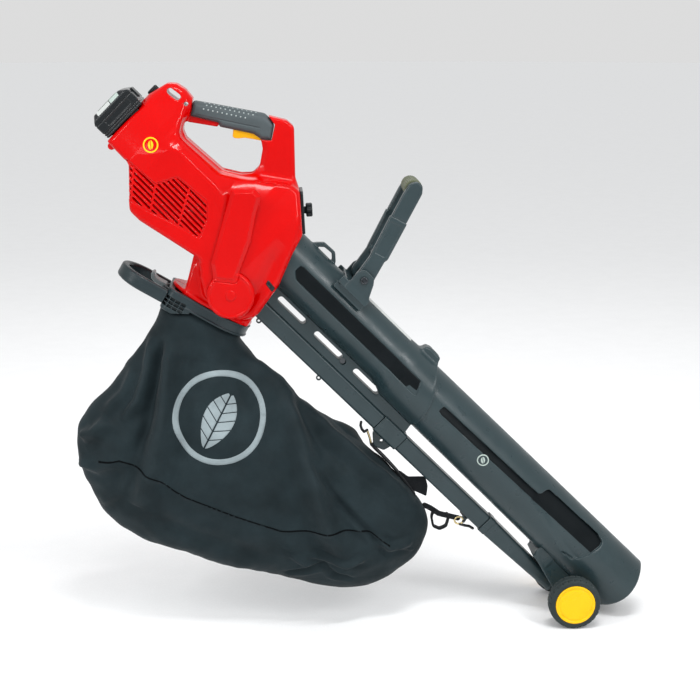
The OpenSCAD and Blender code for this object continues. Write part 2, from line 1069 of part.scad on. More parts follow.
module bag_ring() {
    color(dark)
        posed()
            at_ring()
                difference() {
                    union() {
                        translate([0, 0, -20])
                            linear_extrude(19.9)
                                ring_outline();
                        translate([0, 0, -37])
                            linear_extrude(17)
                                intersection() {
                                    ring_outline();
                                    translate([-ring_half_l, -80])
                                        square([44, 160]);
                                }
                        block([-82, -20, -20], [-70, 20, -8]);
                    }
                    translate([0, 0, -40])
                        linear_extrude(50)
                            ring_outline(9);
                    block([-90, -13.5, -25], [-73.9, 13.5, 5]);
                    rod_y([-79, -14], 2, [-30, 30]);
                }
}

module ring_handle() {
    color(dark)
        posed()
            at_ring()
                translate([0, 0, -30])
                    linear_extrude(23)
                        difference() {
                            union() {
                                for (y = [-1, 1])
                                    translate([-144, y * 33])
                                        circle(14);
                                translate([-158, -33])
                                    square([110, 66]);
                                translate([-144, -47])
                                    square([96, 94]);
                            }
                            translate([-147, -36])
                                square([120, 72]);
                            ring_outline(-0.05);
                        }
}

module bag_latch() {
    color(slate)
        posed()
            at_ring()
                difference() {
                    union() {
                        block([-106, -13, -12], [-79, 13, -3]);
                        rod_y([-79, -14], 4.5, [-13, 13]);
                    }
                    rod_y([-79, -14], 2 + fit, [-30, 30]);
                }
}

module latch_pin() {
    color(steel)
        posed()
            at_ring()
                rod_y([-79, -14], 2, [-20, 20]);
}

// Points round one section of the bag.
function bag_ring_points(s) =
    let (mx = (s[0] + s[2]) / 2, mz = (s[1] + s[3]) / 2, hx = (s[2] - s[0]) / 2, hz = (s[3] - s[1]) / 2)
    [for (i = [0:bag_sides - 1])
        let (a = 360 * i / bag_sides)
        [mx + hx * cos(a), s[4] * sin(a), mz + hz * cos(a)]];

module bag() {
    rings = [for (s = bag_sections) bag_ring_points(s)];
    n = len(rings);
    color(cloth)
        polyhedron(
            points = [for (r = rings) each r],
            faces = concat(
                [[for (i = [bag_sides - 1:-1:0]) i]],
                [[for (i = [0:bag_sides - 1]) (n - 1) * bag_sides + i]],
                [for (k = [0:n - 2], i = [0:bag_sides - 1])
                    let (j = (i + 1) % bag_sides)
                    [k * bag_sides + i, k * bag_sides + j, (k + 1) * bag_sides + j]],
                [for (k = [0:n - 2], i = [0:bag_sides - 1])
                    let (j = (i + 1) % bag_sides)
                    [k * bag_sides + i, (k + 1) * bag_sides + j, (k + 1) * bag_sides + i]]));
}

// A point of the machine's frame as x and z of the posed model.
function held(p) = [
    (p[0] - grip_mid[0]) * cos(tilt) + (p[1] - grip_mid[1]) * sin(tilt),
    (p[1] - grip_mid[1]) * cos(tilt) - (p[0] - grip_mid[0]) * sin(tilt)];

module along_strap(s) {
    translate([held(s[0])[0], 0, held(s[0])[1]])
        rotate([0, 180 - s[1], 0])
            children();
}

module strap_hooks() {
    color("goldenrod")
        for (s = strap_runs)
            along_strap(s) {
                translate([hook_r, 0, 0])
                    rotate_extrude()
                        translate([hook_r, 0])
                            circle(wire_r, $fn = 24);
            }
}

module bag_straps() {
    color(dark)
        for (s = strap_runs)
            along_strap(s)
                block([2 * hook_r + wire_r + 0.3, -9, -strap_t / 2],
                    [2 * hook_r + s[2], 9, strap_t / 2]);
}

strap_hooks();
bag_straps();
left_housing();
right_housing();
handle_grip();
trigger();
trigger_pin();
trigger_switch();
speed_dial();
battery_pack();
battery_button();
battery_terminal();
control_board();
motor_case();
motor_stator();
motor_bearings();
motor_rotor();
motor_mount();
volute();
fan_wheel();
fan_nut();
selector_lever();
selector_shaft();
selector_flap();
selector_washer();
housing_screws();
tube_flange();
star_knob();
upper_tube();
tube_web();
blow_tube_upper();
blow_sleeve();
blow_tube_lower();
blow_nozzle();
lower_tube();
tube_screws();
tube_label();
handle_bracket();
front_handle();
front_grip();
handle_bolt();
wheel_bracket();
wheel_axle();
left_wheel();
left_tyre();
left_cap();
right_wheel();
right_tyre();
right_cap();
bag_ring();
ring_handle();
bag_latch();
latch_pin();
bag();
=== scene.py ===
import json
import math

import bmesh
import bpy
import numpy as np
from mathutils import Matrix, Vector
from mathutils.bvhtree import BVHTree


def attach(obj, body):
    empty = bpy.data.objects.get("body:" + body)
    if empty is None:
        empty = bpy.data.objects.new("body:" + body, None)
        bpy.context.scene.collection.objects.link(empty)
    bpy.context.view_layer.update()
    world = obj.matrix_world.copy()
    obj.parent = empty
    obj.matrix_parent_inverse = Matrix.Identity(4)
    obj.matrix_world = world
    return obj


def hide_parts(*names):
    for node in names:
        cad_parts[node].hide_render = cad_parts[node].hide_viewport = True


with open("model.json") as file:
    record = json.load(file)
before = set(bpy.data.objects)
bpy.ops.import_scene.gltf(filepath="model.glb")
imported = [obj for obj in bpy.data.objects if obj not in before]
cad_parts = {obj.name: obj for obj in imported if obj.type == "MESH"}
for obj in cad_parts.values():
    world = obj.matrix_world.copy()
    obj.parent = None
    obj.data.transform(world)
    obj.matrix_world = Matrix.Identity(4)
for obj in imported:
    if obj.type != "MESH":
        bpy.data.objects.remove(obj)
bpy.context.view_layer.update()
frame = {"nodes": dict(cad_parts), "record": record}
NODES = frame["nodes"]
RECORD = frame["record"]
MM = 0.001

# ---------------------------------------------------------------- camera

VIEW_AZIMUTH, VIEW_ELEVATION = math.radians(-3), math.radians(13)
VIEW_DISTANCE, VIEW_LENS = 2.4, 74.8
LOOK_AT = Vector((0.1994, 0, -0.3804))


def make_camera():
    data = bpy.data.cameras.new("camera")
    data.lens, data.sensor_width = VIEW_LENS, 36
    cam = bpy.data.objects.new("camera", data)
    bpy.context.scene.collection.objects.link(cam)
    level = math.cos(VIEW_ELEVATION)
    back = Vector((math.sin(VIEW_AZIMUTH) * level, -math.cos(VIEW_AZIMUTH) * level,
                   math.sin(VIEW_ELEVATION)))
    cam.location = LOOK_AT + VIEW_DISTANCE * back
    cam.rotation_euler = (-back).to_track_quat("-Z", "Y").to_euler()
    bpy.context.scene.camera = cam


make_camera()

# ---------------------------------------------------------------- frames, in millimetres

# The machine's own frame has X along the tubes towards the mouth and Z up from them. It is tilted
# into the row's frame about the middle of the grip, which is the row's origin.
TILT = math.radians(45)
GRIP_MID = (-410, 0, 96)


def turned(angle, at):
    """A frame tipped up by an angle about -Y at a point."""
    return Matrix.Translation(at) @ Matrix.Rotation(-math.radians(angle), 4, "Y")


def local_xz(g, place):
    """X and Z of the sample points as one of the machine's tipped frames sees them."""
    m = place.inverted()
    return [m[row][0] * g.x + m[row][2] * g.z + m[row][3] for row in (0, 2)]


MACHINE = (Matrix.Scale(MM, 4) @ Matrix.Rotation(TILT, 4, "Y")
           @ Matrix.Translation([-v for v in GRIP_MID]))
GRIP_TIP, RING_TIP = turned(33, GRIP_MID), turned(15, (-216.5, 0, -134.5))
GRIP, RING = MACHINE @ GRIP_TIP, MACHINE @ RING_TIP
PIVOT = (-75, 71)
HANDLE = MACHINE @ turned(107, (PIVOT[0], 0, PIVOT[1]))
PLATE = MACHINE @ turned(48, (-220.5, 0, 76))
ROW = Matrix.Scale(MM, 4)

# ---------------------------------------------------------------- distance fields and their meshes


class Grid:
    """Open axes of a box of sample points, in millimetres."""

    def __init__(self, lo, hi, step):
        self.step = step
        self.lo = np.array(lo, np.float32)
        axes = [np.arange(a, b + step, step, dtype=np.float32) for a, b in zip(lo, hi)]
        self.shape = tuple(len(a) for a in axes)
        self.x = axes[0][:, None, None]
        self.y = axes[1][None, :, None]
        self.z = axes[2][None, None, :]


NEARLY_STRAIGHT, EDGE_SHARE = 1.55, 0.48


def fillet(points, radius, steps=5):
    """A closed outline with its corners rounded, each as far as its edges allow."""
    points = [np.array(p, float) for p in points]
    n, out = len(points), []
    radii = radius if hasattr(radius, "__len__") else [radius] * n
    for i, p in enumerate(points):
        a, b = points[i - 1] - p, points[(i + 1) % n] - p
        la, lb = np.linalg.norm(a), np.linalg.norm(b)
        a, b = a / la, b / lb
        half = math.acos(max(-1, min(1, float(a @ b)))) / 2
        if half > NEARLY_STRAIGHT or radii[i] <= 0:
            out.append(p)
            continue
        reach = min(radii[i] / math.tan(half), EDGE_SHARE * la, EDGE_SHARE * lb)
        for k in range(steps + 1):
            t = k / steps
            out.append(p + a * reach * (1 - t) ** 2 + b * reach * t * t)
    return [tuple(p) for p in out]


def outline(a, b, points):
    """Signed distance to a closed outline in the plane of the open axes a and b."""
    p = np.array(points, np.float32)
    q = np.roll(p, 1, axis=0)
    best, sign = None, None
    for (px, pz), (qx, qz) in zip(p, q):
        ex, ez = qx - px, qz - pz
        wx, wz = a - px, b - pz
        t = np.clip((wx * ex + wz * ez) / max(ex * ex + ez * ez, 1e-9), 0, 1)
        d = (wx - ex * t) ** 2 + (wz - ez * t) ** 2
        c1, c2, c3 = b >= pz, b < qz, ex * wz > ez * wx
        flip = (c1 & c2 & c3) | (~c1 & ~c2 & ~c3)
        if best is None:
            best, sign = d, np.where(flip, -1, 1)
        else:
            best, sign = np.minimum(best, d), np.where(flip, -sign, sign)
    return (sign * np.sqrt(best)).astype(np.float32)


def meet(a, b, r=0.0):
    """Where both solids are, with their new edges rounded."""
    if r <= 0:
        return np.maximum(a, b)
    u, v = np.maximum(a + r, 0), np.maximum(b + r, 0)
    return np.minimum(np.maximum(a, b) + r, 0) + np.sqrt(u * u + v * v) - r


def join(a, b, r=0.0):
    """Where either solid is, with a fillet between them."""
    return -meet(-a, -b, r)


def cut(a, b, r=0.0):
    """The first solid without the second."""
    return meet(a, -b, r)


def box(g, lo, hi, r=0.0):
    """A block with rounded edges."""
    lo, hi = np.array(lo, float), np.array(hi, float)
    mid, half = (lo + hi) / 2, (hi - lo) / 2 - r
    q = [np.abs(v - m) - h for v, m, h in zip((g.x, g.y, g.z), mid, half)]
    out = np.sqrt(sum(np.maximum(v, 0) ** 2 for v in q))
    return out + np.minimum(np.maximum(np.maximum(q[0], q[1]), q[2]), 0) - r


def between(values, span):
    """Distance to a slab between two planes."""
    return np.abs(values - (span[0] + span[1]) / 2) - (span[1] - span[0]) / 2


def rod_x(g, x, radius, z=0, y=0, r=0.0):
    side = np.sqrt((g.y - y) ** 2 + (g.z - z) ** 2) - radius
    return meet(side, between(g.x, x), r)


def rod_y(g, at, radius, y, r=0.0):
    side = np.sqrt((g.x - at[0]) ** 2 + (g.z - at[1]) ** 2) - radius
    return meet(side, between(g.y, y), r)


def rod_z(g, at, radius, z, r=0.0):
    side = np.sqrt((g.x - at[0]) ** 2 + (g.y - at[1]) ** 2) - radius
    return meet(side, between(g.z, z), r)


def polar(a, b):
    """Radius and turn about the middle of a plane."""
    return np.sqrt(a ** 2 + b ** 2), np.arctan2(b, a)


def profile(g, points, radii=0):
    """A side outline in the plane of X and Z, with rounded corners."""
    return outline(g.x, g.z, fillet(points, radii))


def obround(a, b, half_l, half_w):
    """Distance to a slot outline with round ends, centred."""
    return np.sqrt(np.maximum(np.abs(a) - (half_l - half_w), 0) ** 2 + b * b) - half_w


CORNERS = np.array([(i, j, k) for i in (0, 1) for j in (0, 1) for k in (0, 1)])
EDGES = [(a, b) for a in range(8) for b in range(a + 1, 8)
         if np.abs(CORNERS[a] - CORNERS[b]).sum() == 1]
PULLS = 3


def skin(field, g):
    """Vertices in millimetres and quads on the zero level of a field, by surface nets."""
    f = np.ascontiguousarray(np.broadcast_to(field, g.shape), dtype=np.float32)
    inside = f < 0
    nx, ny, nz = (n - 1 for n in f.shape)
    count = np.zeros((nx, ny, nz), np.int8)
    for i, j, k in CORNERS:
        count += inside[i:i + nx, j:j + ny, k:k + nz]
    cells = np.argwhere((count > 0) & (count < 8))
    index = np.full((nx, ny, nz), -1, np.int32)
    index[tuple(cells.T)] = np.arange(len(cells))
    values = np.stack([f[tuple((cells + c).T)] for c in CORNERS], axis=1)
    total = np.zeros((len(cells), 3), np.float32)
    hits = np.zeros(len(cells), np.float32)
    for a, b in EDGES:
        va, vb = values[:, a], values[:, b]
        crossed = (va < 0) != (vb < 0)
        t = np.where(crossed, va / np.where(crossed, va - vb, 1), 0)[:, None]
        point = CORNERS[a] + t * (CORNERS[b] - CORNERS[a])
        total += np.where(crossed[:, None], point, 0)
        hits += crossed
    local = total / hits[:, None]
    # pull each vertex onto the field's zero level along its slope
    for _ in range(PULLS):
        w = [np.stack([1 - local[:, n], local[:, n]], axis=1) for n in range(3)]
        value, slope = np.zeros(len(cells)), np.zeros((len(cells), 3))
        for c, (i, j, k) in enumerate(CORNERS):
            wi, wj, wk, v = w[0][:, i], w[1][:, j], w[2][:, k], values[:, c]
            value += v * wi * wj * wk
            slope[:, 0] += v * (2 * i - 1) * wj * wk
            slope[:, 1] += v * (2 * j - 1) * wi * wk
            slope[:, 2] += v * (2 * k - 1) * wi * wj
        size = np.maximum((slope ** 2).sum(1), (0.3 * g.step) ** 2)
        local = np.clip(local - (value / size)[:, None] * slope, 0.02, 0.98)
    points = g.lo + (cells + local) * g.step
    quads = []
    for axis in range(3):
        u, v = [n for n in range(3) if n != axis]
        lead = [slice(1, -1)] * 3
        lead[axis] = slice(None, -1)
        trail = list(lead)
        trail[axis] = slice(1, None)
        first, second = inside[tuple(lead)], inside[tuple(trail)]
        for outward in (True, False):
            found = np.argwhere((first & ~second) if outward else (~first & second))
            base = found.copy()
            base[:, u] += 1
            base[:, v] += 1
            ring = []
            for du, dv in ((-1, -1), (0, -1), (0, 0), (-1, 0)):
                cell = base.copy()
                cell[:, u] += du
                cell[:, v] += dv
                ring.append(index[tuple(cell.T)])
            quad = np.stack(ring, axis=1)
            flip = (axis == 1) == outward
            quads.append(quad[:, ::-1] if flip else quad)
    return points, np.concatenate(quads)


def mesh_object(name, points, faces, place=MACHINE, smooth=True):
    """A piece from points in millimetres of a frame and faces, as arrays or lists."""
    mesh = bpy.data.meshes.new(name)
    if isinstance(faces, np.ndarray):
        n, sides = faces.shape
        mesh.vertices.add(len(points))
        mesh.vertices.foreach_set("co", np.asarray(points, np.float32).ravel())
        mesh.loops.add(n * sides)
        mesh.loops.foreach_set("vertex_index", faces.astype(np.int32).ravel())
        mesh.polygons.add(n)
        mesh.polygons.foreach_set("loop_start", np.arange(0, n * sides, sides, dtype=np.int32))
        mesh.update(calc_edges=True)
    else:
        mesh.from_pydata([tuple(p) for p in points], [], [tuple(f) for f in faces])
    mesh.validate()
    mesh.transform(place)
    mesh.polygons.foreach_set("use_smooth", np.full(len(mesh.polygons), smooth))
    mesh.update()
    ob = bpy.data.objects.new(name, mesh)
    bpy.context.scene.collection.objects.link(ob)
    return ob


def face_out(ob, merge=False):
    """Turns a closed mesh's faces outwards, after joining doubled points if asked."""
    bm = bmesh.new()
    bm.from_mesh(ob.data)
    if merge:
        bmesh.ops.remove_doubles(bm, verts=bm.verts, dist=1e-6)
    bmesh.ops.recalc_face_normals(bm, faces=bm.faces)
    bm.to_mesh(ob.data)
    bm.free()
    return ob


def settle(ob):
    """Applies every modifier of a piece."""
    graph = bpy.context.evaluated_depsgraph_get()
    mesh = bpy.data.meshes.new_from_object(ob.evaluated_get(graph), depsgraph=graph)
    ob.modifiers.clear()
    ob.data = mesh
    return ob


def moulding(name, field, g, place=MACHINE, faces=60000):
    """A piece on the zero level of a field, thinned to about that many quads."""
    points, quads = skin(field, g)
    ob = mesh_object(name, points, quads, place)
    if len(quads) > faces:
        thin = ob.modifiers.new("thin", "DECIMATE")
        thin.ratio = faces / len(quads)
        settle(ob)
    return ob


def dress(ob, material, body, nodes=()):
    """Gives a piece its material, the body it rides on and the CAD nodes it stands for."""
    ob.data.materials.clear()
    ob.data.materials.append(material)
    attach(ob, body)
    if nodes:
        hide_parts(*nodes)
    return ob


# ---------------------------------------------------------------- materials


def linear(r, g, b):
    """A colour picked as 0 to 255 steps, as the shader's linear numbers."""
    out = []
    for v in (r, g, b):
        v /= 255
        out.append(v / 12.92 if v <= 0.04045 else ((v + 0.055) / 1.055) ** 2.4)
    return out


def finish_of(name, color, rough, grain=0.0, grain_size=0.6, mottle=0.06, wear=0.25,
              uneven=0.08, ripple=0.0, **fixed):
    """A procedural finish. Colour varies with broad mottling and paler worn edges, roughness with
    fine smears, and the surface carries a fine grain and, if asked, a broad ripple."""
    m = bpy.data.materials.new(name)
    m.use_nodes = True
    tree = m.node_tree
    add, link = tree.nodes.new, tree.links.new
    shader = tree.nodes["Principled BSDF"]
    for key, value in fixed.items():
        shader.inputs[key.replace("_", " ")].default_value = value
    where = add("ShaderNodeTexCoord").outputs["Object"]

    def noise(size_mm, detail):
        node = add("ShaderNodeTexNoise")
        node.inputs["Scale"].default_value = 1000 / size_mm
        node.inputs["Detail"].default_value = detail
        link(where, node.inputs["Vector"])
        return node.outputs["Fac"]

    def span(value, lo, hi, a=0.3, b=0.7):
        node = add("ShaderNodeMapRange")
        for key, v in (("From Min", a), ("From Max", b), ("To Min", lo), ("To Max", hi)):
            node.inputs[key].default_value = v
        link(value, node.inputs["Value"])
        return node.outputs["Result"]

    def mixed(share, a, b):
        node = add("ShaderNodeMix")
        node.data_type = "RGBA"
        for key, v in ((0, share), (6, a), (7, b)):
            if isinstance(v, bpy.types.NodeSocket):
                link(v, node.inputs[key])
            else:
                node.inputs[key].default_value = v
        return node.outputs[2]

    darker = [c * (1 - mottle) for c in color] + [1]
    lighter = [min(1, c * (1 + mottle) + 0.01 * mottle) for c in color] + [1]
    worn = [c + (1 - c) * 0.16 for c in color] + [1]
    base = mixed(span(noise(55, 4), 0, 1), darker, lighter)
    base = mixed(span(noise(3.5, 5), 0, 0.25), base, [c * 0.82 for c in color] + [1])
    edge = span(add("ShaderNodeNewGeometry").outputs["Pointiness"], 0, wear, 0.52, 0.62)
    link(mixed(edge, base, worn), shader.inputs["Base Color"])
    link(span(noise(22, 5), max(0.03, rough - uneven), rough + uneven),
         shader.inputs["Roughness"])
    for strength, distance, size_mm, detail in ((grain, 0.00025, grain_size, 2),
                                                (ripple, 0.002, 38, 1)):
        if strength:
            bump = add("ShaderNodeBump")
            bump.inputs["Strength"].default_value = min(1, strength)
            bump.inputs["Distance"].default_value = distance
            link(noise(size_mm, detail), bump.inputs["Height"])
            for under in shader.inputs["Normal"].links:
                link(under.from_socket, bump.inputs["Normal"])
            link(bump.outputs["Normal"], shader.inputs["Normal"])
    return m


# Colour, roughness and the further arguments of finish_of
FINISHES = {
    "casing_red": ((196, 0, 0), 0.18, dict(grain=0.03, grain_size=1.4, mottle=0.04, wear=0.08,
                                           uneven=0.04, ripple=0.04, Coat_Weight=0.15,
                                           Coat_Roughness=0.05, Specular_IOR_Level=0.1)),
    "slate_plastic": ((37, 53, 57), 0.33, dict(grain=0.16, grain_size=0.5, mottle=0.1, wear=0.1,
                                               Specular_IOR_Level=0.42)),
    "black_plastic": ((18, 23, 26), 0.32, dict(grain=0.2, grain_size=0.5, mottle=0.12, wear=0.1,
                                               Specular_IOR_Level=0.25)),
    "soft_grip": ((64, 73, 76), 0.55, dict(grain=0.45, grain_size=0.4, mottle=0.12, wear=0.3,
                                           Specular_IOR_Level=0.35)),
    "trigger_yellow": ((242, 178, 2), 0.28, dict(grain=0.08, mottle=0.05, Coat_Weight=0.1,
                                                 Specular_IOR_Level=0.2)),
    "wheel_yellow": ((246, 190, 0), 0.30, dict(grain=0.08, mottle=0.05, Coat_Weight=0.1,
                                               Specular_IOR_Level=0.2)),
    "tyre": ((40, 49, 50), 0.66, dict(grain=0.5, grain_size=0.7, mottle=0.15, wear=0.4,
                                      Specular_IOR_Level=0.25)),
    "steel": ((196, 198, 202), 0.28, dict(grain=0.1, mottle=0.05, Metallic=1.0)),
    "motor_steel": ((176, 178, 182), 0.36, dict(grain=0.15, mottle=0.08, Metallic=1.0)),
    "copper": ((196, 120, 72), 0.34, dict(grain=0.5, grain_size=1.1, mottle=0.2, Metallic=1.0)),
    "board_green": ((20, 96, 54), 0.34, dict(grain=0.3, grain_size=2.2, mottle=0.25)),
    "webbing": ((20, 23, 26), 0.75, dict(grain=1.0, grain_size=0.9, mottle=0.25, wear=0.1,
                                         Sheen_Weight=0.05, Specular_IOR_Level=0.12)),
    "hook_brass": ((206, 188, 140), 0.26, dict(grain=0.1, mottle=0.1, Metallic=1.0)),
    "black_gloss": ((16, 21, 24), 0.24, dict(grain=0.1, grain_size=0.6, mottle=0.1, wear=0.12,
                                             Coat_Weight=0.15, Specular_IOR_Level=0.25)),
    "grip_dot": ((150, 160, 160), 0.5, dict(grain=0.2, mottle=0.08)),
    "olive_grip": ((84, 90, 68), 0.60, dict(grain=0.5, grain_size=0.5, mottle=0.14, wear=0.35,
                                            Specular_IOR_Level=0.35)),
    "slate_dark": ((34, 46, 50), 0.34, dict(grain=0.2, grain_size=0.5, mottle=0.1, wear=0.25,
                                            Specular_IOR_Level=0.28)),
    "latch_grey": ((104, 114, 116), 0.32, dict(grain=0.15, mottle=0.08)),
    "dark_steel": ((60, 64, 68), 0.34, dict(grain=0.2, mottle=0.1, Metallic=1.0)),
    "bag_cloth": ((24, 36, 40), 0.70, dict(grain=0.9, grain_size=0.7, mottle=0.28, wear=0.05,
                                           ripple=0.9, Sheen_Weight=0.04, Sheen_Roughness=0.45,
                                           Specular_IOR_Level=0.14)),
    "print_silver": ((134, 146, 150), 0.55, dict(grain=0.6, grain_size=0.7, mottle=0.22, wear=0.0,
                                                 Specular_IOR_Level=0.15)),
    "seam_tape": ((8, 11, 13), 0.85, dict(grain=0.6, grain_size=0.8, mottle=0.3, wear=0.0,
                                          Specular_IOR_Level=0.02)),
    "panel_dark": ((10, 16, 19), 0.40, dict(grain=0.3, grain_size=0.5, mottle=0.12, wear=0.1,
                                            Specular_IOR_Level=0.1)),
    "pale_print": ((170, 184, 178), 0.42, dict(grain=0.15, mottle=0.06)),
    "label": ((186, 190, 188), 0.45, dict(grain=0.1, grain_size=0.9, mottle=0.05)),
}
LOOKS = {name: finish_of(name, linear(*rgb), rough, **more)
         for name, (rgb, rough, more) in FINISHES.items()}


def cast(name, field, g, look, body="main", nodes=(), place=MACHINE, faces=60000):
    """A moulding with its look and the body it rides on, hiding the CAD nodes it stands for."""
    dress(moulding(name, field, g, place, faces), LOOKS[look], body, nodes)


# ---------------------------------------------------------------- housing

CASING = [(-515, -56), (-515, 40), (-507, 71), (-498, 79), (-484, 82), (-468, 80), (-455, 56),
          (-440, 32), (-356, 36), (-318, 58), (-262, 98), (-246, 99), (-195, 53), (-186, 21),
          (-166, -30), (-156, -92), (-172, -116), (-205, -127), (-240, -124), (-264, -108),
          (-286, -86), (-394, -108), (-416, -108), (-432, -93), (-468, -56)]
CASING_ROUND = [3, 8, 4, 2, 3, 5, 8, 12, 20, 20, 10, 10, 12, 20, 30, 24, 24, 24, 20, 20, 14, 20,
                16, 14, 16]
PLAN = ((-516, -470, -440, -310, -225, -190, -150), (46, 62, 66, 68, 70, 66, 60))
LOOP = [(-515, 10), (-515, 40), (-507, 71), (-498, 79), (-484, 82), (-466, 80), (-372, 143),
        (-356, 152), (-338, 163), (-322, 164), (-256, 100), (-250, 60), (-300, 20), (-440, 10)]
HAND = [(-451, 50), (-444, 38), (-431, 32), (-356, 36), (-330, 52), (-317, 66), (-318, 82),
        (-333, 104), (-344, 112), (-352, 112)]
OUTLET = [(-300, -84), (-160, -80), (-153, -117.4), (-263, -147)]
VENT = [(-478, -52), (-417, -48), (-400, -16), (-341, -11), (-321, -31), (-309, -62),
        (-347, -71), (-392, -86), (-421, -93), (-450, -98)]
LOOP_HALF, OUTLET_HALF, WALL = 19, 49, 3
SIDE_SLOPE = 0.8  # keeps the field of the slanting sides close to a true distance
SELECTOR_AT, DIAL_Z, BATTERY_END = (-212, -92), 48, -557
SCREWS = [(-497, -51, 52), (-414, -97, 66), (-318, 42, 67), (-258, 84, 69), (-181, -53, 64),
          (-330, 146, 19)]
UPPER_Z, UPPER_R = 6, 46
BLOW_Z, BLOW_R = -84, 14.5
# where the casing's side starts to lean inwards, how softly, and how steeply, along X
SHOULDER = ((-520, -456, -425, -330, -300, -262, -150), (0, 0, 14.5, 14.5, 26, 36, 20))
SOFTNESS = ((-470, -435, -345, -300), (34, 2.5, 2.5, 40))
SLOPE = ((-520, -450, -425, -330, -280, -220), (0.36, 0.52, 0.95, 0.95, 0.55, 0.4))
# the rim round the tube's seat, and the valley behind it
RIM = [(-206, 60), (-186, 21), (-166, -30), (-156, -92), (-166, -112)]


class Points:
    """Loose points that a field can be asked about."""

    def __init__(self, x, y, z):
        self.x, self.y, self.z = x, y, z


def far_from(g, path):
    """Distance to an open path in the plane of X and Z."""
    best = None
    for (px, pz), (qx, qz) in zip(path, path[1:]):
        ex, ez = qx - px, qz - pz
        t = np.clip(((g.x - px) * ex + (g.z - pz) * ez) / (ex * ex + ez * ez), 0, 1)
        d = (g.x - px - ex * t) ** 2 + (g.z - pz - ez * t) ** 2
        best = d if best is None else np.minimum(best, d)
    return np.sqrt(best)


def casing_width(g):
    """Half width of the casing: narrower above its shoulder, with a valley behind the front rim."""
    full = np.interp(g.x, *PLAN)
    over = g.z - np.interp(g.x, *SHOULDER)
    soft = np.interp(g.x, *SOFTNESS)
    over = 0.5 * (over + np.sqrt(over * over + soft * soft)) - 0.2 * soft
    width = full - np.interp(g.x, *SLOPE) * np.maximum(over, 0)
    rim = far_from(g, RIM)
    low = np.clip((24 - g.z) / 30, 0, 1)
    return (width - 6 * low * np.exp(-((rim - 24) / 10) ** 2)
            - 2.5 * np.clip((9 - rim) / 9, 0, 1) ** 2)


def casing(g, d=0.0, r=7.0):
    side = (np.abs(g.y) - casing_width(g)) * SIDE_SLOPE
    shape = profile(g, CASING, CASING_ROUND)
    return meet(shape + d, side + d, r)


def screw_seat(x, z, limit):
    """Half width at a screw: the loop's own, or the casing's where it lies further in."""
    if limit <= LOOP_HALF:
        return limit
    at = Points(np.array([float(x)]), np.zeros(1), np.array([float(z)]))
    return min(limit, float(casing_width(at)[0]))


# X, Z and half width of each screw's seat
SEATS = [(x, z, screw_seat(x, z, limit)) for x, z, limit in SCREWS]


def vent_depth(g):
    """How deep a point lies under the casing's side or under its slanting rear edge."""
    side = (casing_width(g) - np.abs(g.y)) * SIDE_SLOPE
    return np.minimum(side, -profile(g, CASING, CASING_ROUND))


def outlet_width(g):
    return (OUTLET_HALF - 16) + 16 * np.sqrt(np.clip(1 - (np.abs(g.x + 222) / 66) ** 2, 0.1, 1))


def housing_body(g):
    """The housing without its hollows: casing, outlet, loop and the grip's core."""
    gx, gz = local_xz(g, GRIP_TIP)
    rx, rz = local_xz(g, RING_TIP)
    body = casing(g)
    wide = outlet_width(g)
    outlet = meet(profile(g, OUTLET, [8, 8, 2, 2]), np.abs(g.y) - wide, 6)
    body = join(body, outlet, 7)
    foot = meet(obround(rx, g.y, 71.5, 52), np.abs(rz - 3.1) - 3, 1.2)
    body = join(body, foot, 5)
    loop = meet(profile(g, LOOP, 10), np.abs(g.y) - LOOP_HALF, 6)
    body = join(body, loop, 14)
    hand = profile(g, HAND, 12) + 0 * g.y
    chamfer = (9 * body - 5 * hand + 45) / 10.3
    body = meet(cut(body, hand, 1), chamfer, 0.6)
    # the boss under the rear edge
    body = join(body, rod_y(g, (-505, -58), 6, (-30, 30), 1.5), 2)
    # the soft grip's bed, its core and the strip that shows under the grip's rear half
    sleeve = np.sqrt(g.y ** 2 + gz ** 2)
    bed = outline(gx, gz, [(-53.5, 40), (-53.5, -40), (62, -40), (63, -21.5), (80, -19),
                           (80.5, 6), (63, 22), (63, 40)])
    body = cut(body, bed + 0 * g.y, 1)
    strip = meet(meet(outline(gx, gz, [(-56, -8), (-56, -18), (-8, -16), (-4, -9)]),
                      np.abs(g.y) - 9, 3), sleeve - 19)
    core = join(meet(sleeve - 11.5, np.abs(gx - 8) - 66), strip)
    return join(body, core)


def housing_hollow(g, side):
    """The room inside, clear of the hand opening and of the far half's screw posts."""
    rx, rz = local_xz(g, RING_TIP)
    hand = profile(g, HAND, 12) + 0 * g.y
    inner = meet(outline(g.x, g.z, CASING) + WALL,
                 (np.abs(g.y) - casing_width(g)) * SIDE_SLOPE + WALL, 2)
    inner = meet(inner, np.maximum(13 - hand, g.z - np.where(g.x < -430, 30, 200)))
    if side > 0:
        for x, z, seat in SEATS:
            post = 7.5 - np.sqrt((g.x - x) ** 2 + (g.z - z) ** 2)
            inner = np.maximum(inner, np.minimum(post, g.y - seat + 10))
    duct = meet(outline(rx, rz, [(-44, -3), (-44, 62), (56, 50), (60, -3)]),
                np.abs(g.y) - outlet_width(g) + 4, 3)
    return join(inner, duct)


